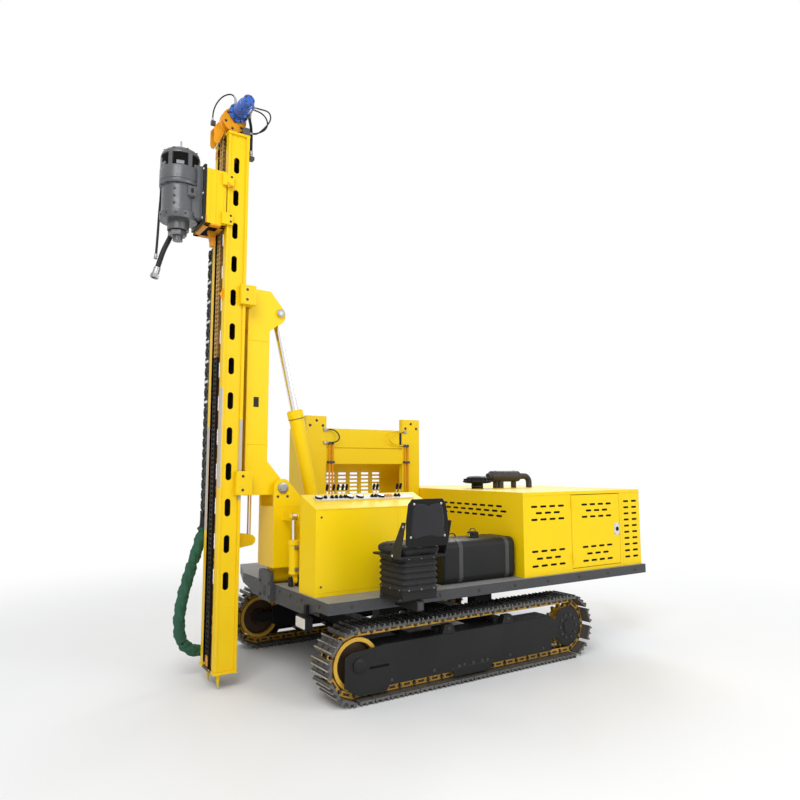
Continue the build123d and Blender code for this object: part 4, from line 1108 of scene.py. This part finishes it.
def bellows_boot():
    """Pleated boot on its two rims.

    The rounded outline grows and shrinks as |cos(pi folds t)|^1.5 up its height.
    """
    folds, corner_steps = 5, 6
    height = np.linspace(0, 1, 61)
    grow = 0.012 * np.abs(np.cos(np.pi * folds * height)) ** 1.5
    rings = np.stack([np.c_[rounded(0.316 + 2 * wide, 0.296 + 2 * wide, 0.035, corner_steps),
                            np.full(4 * (corner_steps + 1), 0.846 + 0.217 * rise)]
                      for wide, rise in zip(grow, height)]) + (seat_x, seat_y, 0)
    rims = [placed(plate(rounded(0.34, 0.32, 0.04, corner_steps), z, z + 0.01),
                   frames((seat_x, seat_y, 0))) for z in (0.84, 1.059)]
    screws = (0.845, 1.064)
    near = [(seat_x + 0.17, seat_y + y, z) for y in (-0.11, 0, 0.11) for z in screws]
    front = [(seat_x + x, seat_y - 0.16, z) for x in (-0.12, 0, 0.12) for z in screws]
    return [(stacked(rings), rubber), (joined(*rims), black),
            (joined(bolts(0.0035, near, leftward), bolts(0.0035, front, forward)), zinc)]


def seat_details():
    """Side arms' bolts, the back's rear shell with its screws, the lever, rails and mount."""
    arms = both(lambda side: bolts(0.007, [(seat_x + 0.1, seat_y + side * 0.2075, 1.086),
                                           (seat_x + 0.238, seat_y + side * 0.2075, 1.3)],
                                   (0, side, 0), leftward))
    shell = on_back(mirrored_outline([(0.165, -0.185), (0.188, -0.16), (0.184, 0.0),
                                      (0.166, 0.116), (0.134, 0.15)]), 0, 0.014, 0.004, 1.452)
    corners = bolts(0.006, [(1.4665, seat_y + y, z) for y, z in (
        (-0.15, 1.225), (0.15, 1.225), (-0.12, 1.455), (0.12, 1.455))], leftward)
    lever_y = seat_y - 0.205
    lever = rod((seat_x - 0.06, lever_y, 1.064), (seat_x + 0.06, lever_y, 1.06), 0.006, 12)
    knob = rod((seat_x + 0.05, lever_y, 1.06), (seat_x + 0.1, lever_y, 1.058), 0.011, 16)
    rails = both(lambda side: box((seat_x - 0.15, seat_y + side * 0.13 - 0.012, 1.0695),
                                  (seat_x + 0.185, seat_y + side * 0.13 + 0.012, 1.0865)))
    mount = bolts(0.01, [(seat_x + x, seat_y + y, deck_top + 0.0205) for x in (-0.115, 0.135)
                         for y in (-0.16, 0.16)], upward)
    socket_end = box((1.37, seat_y - 0.024, 0.696), (1.3715, seat_y + 0.024, 0.752), 0.0005)
    return [(joined(shell, lever, knob), plastic), (joined(arms, corners), bright),
            (joined(rails, mount, socket_end), iron)]


piece("seat_bellows", bellows_boot(), instead=("bellows",))
piece("seat_details", seat_details())


# Fuel tank
def tank():
    """Rounded tank between two straps, with its filler cap, handle and tag."""
    filler = (tank_x, 0.19, 1.103)

    def along_y(width, height, radius, low, high, edge):
        return placed(plate(rounded(width, height, radius, 8), low, high, edge),
                      frames((tank_x, 0, 0.9305), rearward, rightward))

    body = along_y(0.372, 0.349, 0.06, -0.275, 0.515, 0.012)
    straps = [along_y(0.378, 0.353, 0.062, y, y + 0.04, 0.001) for y in (-0.117, 0.397)]
    cap = turned([(0.05, 0), (0.05, 0.012), (0.046, 0.014), (0.046, 0.044), (0.04, 0.05)],
                 filler, sides=32)
    grip = carousel(box((0.043, -0.004, 0.018), (0.05, 0.004, 0.044), 0.001), 12, filler)
    arch = np.linspace(0, np.pi, 12)
    handle = tube(polyline(tank_x + 0.04 * np.cos(arch), filler[1], 1.15 + 0.03 * np.sin(arch)),
                  0.004, 10)
    loop = tube(polyline(0.7, 0.02 + 0.045 * np.cos(arch), filler[2] + 0.035 * np.sin(arch)),
                0.006, 10)
    tag = box((0.77, 0.14, 1.112), (0.802, 0.143, 1.14), 0.001)
    return [(joined(body, cap, grip), black), (joined(*straps), dark),
            (joined(handle, loop), iron), (tag, yellow_tag)]


piece("tank_body", tank(), instead=("fuel_tank",))


# Enclosure
def slots(width, height, radius, spots, way, across):
    """Round-ended slots on a wall that faces along way, long in the direction across, drawn as thin
    plates in painted shade.
    """
    return placed(plate(rounded(width, height, radius), -0.001, 0.0008, 0.0003),
                  frames(spots, way, across))


def vents(side, spots):
    """Short air slots on a side wall at the (y, z) spots."""
    return slots(0.076, 0.019, 0.009, [(side * house_side, y, z) for y, z in spots],
                 (side, 0, 0), rearward)


def staggered(middle):
    """Spots of six rows of four and three slots round a middle, three above and three below."""
    rows = ((1.362, 4), (1.305, 3), (1.248, 4), (0.971, 4), (0.9075, 3), (0.844, 4))
    return [(middle + (k - (count - 1) / 2) * slot_pitch, z) for z, count in rows
            for k in range(count)]


def roof_edge(side):
    """Folded lip of the roof and the corner seam of the side."""
    wall = side * house_side
    return joined(box((wall - 0.003, house_front, 1.4585), (wall + 0.003, house_rear, 1.4615),
                      0.0006),
                  box((wall - 0.003, 1.874, 0.76), (wall + 0.0015, 1.877, 1.459), 0.0005))


for side_name, side in sides.items():
    out, lock = (side, 0, 0), (side * house_side, 1.792, 1.116)
    latch = placed(plate(rounded(0.078, 0.11, 0.008), 0, 0.005, 0.001),
                   frames(lock, out, rearward))
    knob = turned([(0.02, 0.004), (0.02, 0.01), (0.014, 0.016)], lock, out, 24)
    screws = bolts(0.004, [(side * 1.055, lock[1] + y, lock[2] + z) for y in (-0.028, 0.028)
                           for z in (-0.044, 0.044)], out)
    end_columns = [(y, 1.376 - k * 0.0596) for y in (1.942, 2.064) for k in range(10)]
    piece(f"panel_slots_{side_name}", [(vents(side, staggered(0.851) + end_columns), opening_shade),
                                       (roof_edge(side), gold)])
    piece(f"door_slots_{side_name}", [(vents(side, staggered(1.508)), opening_shade), (latch, pale),
                                      (knob, plastic), (screws, zinc)], f"door_{side_name}")

front_slots = slots(0.076, 0.019, 0.009, [((k - 6.5 + 0.5 * (row % 2)) * slot_pitch, house_front, z)
                                          for row, z in enumerate((1.357, 1.313, 1.269))
                                          for k in range(14)], forward, leftward)
rear_slots = slots(0.15, 0.018, 0.008, [(x, house_rear, 1.36 - 0.05 * row) for row in range(9)
                                        for x in (-0.4, -0.2, 0.0, 0.2, 0.4)],
                   rearward, rightward)
piece("end_slots", [(joined(front_slots, rear_slots), opening_shade)])


def exhaust_and_cleaner():
    """Muffler on its saddle with a bent tail pipe, and the air pre-cleaner ahead of it."""
    roof_z, saddle_y, cleaner = 1.486, (1.17, 1.43), (0, 0.926, 0)
    body = turned([(0.034, 0), (0.036, 0.03), (0.056, 0.045), (0.058, 0.052), (0.058, 0.42),
                   (0.056, 0.427), (0.036, 0.441), (0.034, 0.471)], (0, 1.072, muffler_z),
                  rearward, 36)
    bands = [rod((0, y, muffler_z), (0, y + 0.022, muffler_z), 0.0605, 36) for y in saddle_y]
    turn = np.linspace(0, np.pi / 2, 10)
    bend_radius = 0.07
    bent = polyline(0, 1.6 + bend_radius * np.sin(turn),
                    muffler_z - bend_radius * (1 - np.cos(turn)))
    tail = tube(np.r_[[(0, 1.535, muffler_z), (0, 1.57, muffler_z)], bent, [(0, 1.67, 1.488)]],
                0.032, 20)
    legs = [box((-0.03, y, roof_z), (0.03, y + 0.022, 1.56)) for y in saddle_y]
    inlet = rod((0, 1.25, roof_z), (0, 1.25, 1.59), 0.034)
    bowl = turned([(0.06, roof_z), (0.06, 1.54), (0.12, 1.545), (0.145, 1.552),
                   (0.149, 1.562), (0.146, 1.572), (0.128, 1.574), (0.12, 1.58),
                   (0.108, 1.604), (0.08, 1.616), (0.03, 1.618)], cleaner, sides=40)
    fins = carousel(box((0.112, -0.002, 1.573), (0.142, 0.002, 1.59), 0.0006), 16, cleaner)
    clamp = rod((0, cleaner[1], 1.505), (0, cleaner[1], 1.517), 0.0625, 32)
    return [(joined(body, tail, *legs, inlet), muffler), (joined(*bands, clamp), iron),
            (joined(bowl, fins), plastic)]


piece("exhaust_and_cleaner", exhaust_and_cleaner(), instead=("exhaust",))


# Cabinet
def louvres():
    """Far wall of the cabinet: plates above and below twelve rows of slots, bars between."""
    rows, columns = 12, 6
    top, pitch, height, wall_top = 1.643, 0.04, 0.022, 2.1
    low, high = top - (rows - 1) * pitch - height / 2, top + height / 2
    edges = -0.135 + (np.arange(columns + 1) - columns / 2) * 0.14
    walls = [box((-0.879, -0.81, deck_top), (-0.849, 0.54, low)),
             box((-0.879, -0.81, high), (-0.849, 0.54, wall_top))]
    walls += [box((-0.85, y, deck_top), (-0.556, y + 0.02, wall_top)) for y in (-0.81, 0.52)]
    bars = [box((-0.877, -0.8, top - k * pitch - pitch + height / 2),
                (-0.851, 0.53, top - k * pitch - height / 2), 0.001) for k in range(rows - 1)]
    posts = [box((-0.878, start, low - 0.001), (-0.85, end, high + 0.001), 0.001)
             for start, end in ((-0.81, edges[0] + 0.0175), (edges[-1] - 0.0175, 0.54),
                                *((y - 0.0175, y + 0.0175) for y in edges[1:-1]))]
    return [(joined(*walls, *bars, *posts), yellow)]


def cabinet_details():
    """Orange pipes up the posts, their clips and ports, post holes and the beam's tall slot, the
    holes and slot in black painted shade.
    """
    pipe_x = -0.482
    pipes = ((-0.56, 1.938), (-0.526, 1.938), (0.347, 1.924), (0.381, 1.924))
    uprights = [rod((pipe_x, y, deck_top), (pipe_x, y, top), 0.01, 16) for y, top in pipes]
    nuts = [rod((pipe_x, y, top - 0.004), (pipe_x, y, top + 0.022), 0.014, 6) for y, top in pipes]
    clips = [box((-0.498, y - 0.036, z), (-0.468, y + 0.036, z + 0.022))
             for y in (-0.543, 0.364) for z in (0.95, 1.35, 1.75)]
    # Post holes and the tall slot are flat black discs and a plate in painted shade
    holes = [rod((-0.4985, y, 2.169), (-0.4955, y, 2.169), 0.014, 24, 0.0005)
             for y in (-0.7, 0.43)]
    slot_plate = box((-0.5035, 0.285, 1.93), (-0.5005, 0.312, 2.07), 0.0008)
    ports = [box((-0.4985, y - 0.014, z - 0.014), (-0.478, y + 0.014, z + 0.014), 0.003)
             for y, z in ((-0.61, 2.081), (-0.61, 1.953), (0.35, 2.083), (0.35, 1.939))]
    heads = bolts(0.01, [(-0.497, y, z) for y in (-0.77, -0.63, 0.36, 0.5)
                         for z in (0.79, 2.12)], leftward)
    inside = boxes(((-0.78, -0.5, deck_top, -0.64, -0.05, 1.15),
                    (-0.77, 0.06, deck_top, -0.66, 0.3, 1.02)), 0.006)
    return [(joined(*uprights), orange), (joined(*nuts, *clips, heads), iron),
            (joined(*holes, slot_plate), black), (joined(*ports), zinc), (inside, dark)]


piece("cabinet_louvres", louvres(), instead=("louvre_panel",))
piece("cabinet_details", cabinet_details())


# Hoses
def route(name, points):
    """Open NURBS spline of third order through the route's end points."""
    curve = bpy.data.curves.new(name, "CURVE")
    curve.dimensions = "3D"
    curve.resolution_u = 12
    spline = curve.splines.new("NURBS")
    spline.points.add(len(points) - 1)
    spline.points.foreach_set("co", np.c_[np.array(points), np.ones(len(points))].ravel())
    spline.order_u = 3
    spline.use_endpoint_u = True
    made = bpy.data.objects.new(name, curve)
    scene.collection.objects.link(made)
    return made


def line_of(made):
    """Points of a bare curve as Blender draws it."""
    return points_of(bpy.data.meshes.new_from_object(made))


def ferrules(line, radius, length):
    """Crimped sleeves and nuts at a hose's two ends."""
    made = []
    for end, inner in ((line[0], line[2]), (line[-1], line[-3])):
        way = (inner - end) / np.linalg.norm(inner - end)
        made += [rod(end, end + way * length, radius * 1.35, 16, 0.001),
                 rod(end, end + way * length * 0.35, radius * 1.7, 6, 0.001)]
    return joined(*made)


def hose(name, points, diameter, body,
         paint=rubber):
    """A hose on its route, with a crimped fitting at each end."""
    made = route(name, points)
    line = line_of(made)
    made.data.bevel_depth = diameter / 2
    made.data.bevel_resolution = 5
    made.data.use_fill_caps = True
    made.data.materials.append(paint)
    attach(made, body)
    ends = piece(f"{name}_ends", [(ferrules(line, diameter / 2, 2.2 * diameter), zinc)], body)


hose("head_hose_long", [(-0.14, -2.358, 4.06), (-0.14, -2.358, 3.96), (-0.138, -2.366, 3.832),
                        (-0.14, -2.369, 3.7), (-0.143, -2.372, 3.574), (-0.143, -2.379, 3.42)],
     0.02, "carriage")
hose("head_hose_short", [(-0.115, -2.266, 3.7147), (-0.115, -2.266, 3.64), (-0.114, -2.296, 3.566),
                         (-0.112, -2.329, 3.488), (-0.112, -2.362, 3.366), (-0.112, -2.392, 3.25)],
     0.042, "carriage")
hose("top_hose_left", [(0.17, -1.8465, 4.828), (0.17, -1.8586, 4.8522), (0.158, -1.882, 4.871),
                       (0.122, -1.914, 4.873), (0.086, -1.943, 4.856), (0.061, -1.97, 4.816),
                       (0.045, -1.988, 4.768), (0.038, -1.998, 4.711), (0.038, -1.998, 4.6503)],
     0.012, "mast")
hose("top_hose_upper", [(0.3, -1.7347, 4.73), (0.3, -1.68, 4.73), (0.291, -1.616, 4.74),
                        (0.277, -1.574, 4.731), (0.26, -1.56, 4.69), (0.242, -1.58, 4.648),
                        (0.216, -1.606, 4.612), (0.18, -1.634, 4.584), (0.162, -1.668, 4.566),
                        (0.162, -1.7117, 4.566)], 0.012, "mast")
hose("top_hose_lower", [(0.262, -1.7347, 4.73), (0.262, -1.68, 4.73), (0.256, -1.622, 4.715),
                        (0.242, -1.584, 4.68), (0.22, -1.574, 4.64), (0.188, -1.592, 4.61),
                        (0.154, -1.63, 4.594), (0.138, -1.668, 4.584), (0.138, -1.7117, 4.584)],
     0.012, "mast")
hose("top_hose_rear", [(0.2, -1.732, 4.7297), (0.2, -1.732, 4.676), (0.17, -1.706, 4.64),
                       (0.128, -1.684, 4.612), (0.098, -1.67, 4.568), (0.084, -1.665, 4.512),
                       (0.082, -1.664, 4.455), (0.082, -1.664, 4.3953)], 0.025, "mast")
hose("cabinet_hose_front", [(-0.49, -0.598, 2.081), (-0.474, -0.552, 2.085),
                            (-0.46, -0.508, 2.07), (-0.452, -0.478, 2.04),
                            (-0.45, -0.466, 2.006), (-0.454, -0.478, 1.974),
                            (-0.463, -0.514, 1.955), (-0.477, -0.556, 1.95),
                            (-0.49, -0.596, 1.953)], 0.012, "root")
hose("cabinet_hose_rear", [(-0.49, 0.338, 2.083), (-0.478, 0.28, 2.086), (-0.465, 0.21, 2.085),
                           (-0.453, 0.15, 2.066), (-0.448, 0.116, 2.018), (-0.451, 0.136, 1.972),
                           (-0.46, 0.2, 1.944), (-0.475, 0.27, 1.935), (-0.49, 0.338, 1.939)],
     0.012, "root", paint=gold)


def sleeved_bundle():
    """Hose bundle in its cloth sleeve: lobed black hoses first, then wrinkled green cloth.

    The sleeve's radius is 45 mm plus slow folds along it and finer ones round it. At a distance
    d from a tie it is drawn in by 10 mm times exp(-(d / width)^2).
    """
    points = [(-0.256, -1.872, 1.33), (-0.256, -1.872, 1.196), (-0.259, -1.908, 1.068),
              (-0.262, -1.962, 0.905), (-0.262, -2.014, 0.716), (-0.262, -2.05, 0.54),
              (-0.262, -2.05, 0.351), (-0.262, -1.996, 0.258), (-0.262, -1.904, 0.205),
              (-0.262, -1.8063, 0.205)]
    bare = route("hose_bundle_line", points)
    line = line_of(bare)
    bpy.data.objects.remove(bare)
    steps = np.r_[0, np.cumsum(np.linalg.norm(np.diff(line, axis=0), axis=1))]
    total = steps[-1]
    rows, columns, cloth_from, tie_radius = 240, 32, 0.115, 0.034
    ties_at = (0.155, 0.42, total - 0.24)
    at = np.linspace(0, total, rows)
    path = np.stack([np.interp(at, steps, line[:, axis]) for axis in range(3)], -1)
    kernel = np.ones(7) / 7
    inner = np.stack([np.convolve(path[:, axis], kernel, "same") for axis in range(3)], -1)
    path[4:-4] = inner[4:-4]
    angle = np.arange(columns) * 2 * np.pi / columns
    along = at[:, None]
    sleeve = 0.045 + (0.0042 * np.sin(58 * along + 1.7 * np.sin(angle) + 2 * np.cos(2 * angle))
                      + 0.0018 * np.sin(131 * along + 3 * angle)
                      + 0.0022 * np.sin(3 * angle + 9 * along) * np.sin(21 * along))
    for tie in ties_at:
        sleeve -= 0.01 * np.exp(-((along - tie) / 0.012) ** 2)
    bunch = 0.026 + 0.007 * np.abs(np.cos(2.5 * angle))
    share = 1 / (1 + np.exp(-(along - 0.118) / 0.004))
    points_all, (skin, first_cap, last_cap) = tube(path, bunch * (1 - share) + sleeve * share,
                                                   columns)
    green = skin[:, 0] // columns > int(rows * cloth_from / total)
    made = piece("hose_bundle_sleeve", [((points_all, [skin[~green], first_cap]), rubber),
                                        ((points_all, [skin[green], last_cap]), cloth)],
                 "mast", angle=60)
    ties = [tube(path[k - 1:k + 3], tie_radius, 24) for k in
            (int(rows * tie / total) for tie in ties_at)]
    bands = piece("hose_bundle_ties", [(joined(*ties), plastic)], "mast")


sleeved_bundle()


def hose_seats():
    """Blocks and clips on the mast that the hoses end in."""
    riser = rod((0.17, -1.8465, 4.76), (0.17, -1.8465, 4.829), 0.011, 6)
    clip = box((0.028, -2.012, 4.61), (0.055, -1.975, 4.651), 0.002)
    rear_port = box((0.178, -1.765, 4.728), (0.222, -1.712, 4.762), 0.003)
    mast_port = box((0.058, -1.717, 4.362), (0.106, -1.64, 4.396), 0.003)
    holder = box((-0.312, -1.808, 0.152), (-0.16, -1.775, 0.258), 0.003)
    return [(joined(riser, rear_port), zinc), (joined(clip, mast_port), iron), (holder, gold)]


piece("hose_seats", hose_seats(), "mast")

scene.view_settings.view_transform = "Standard"
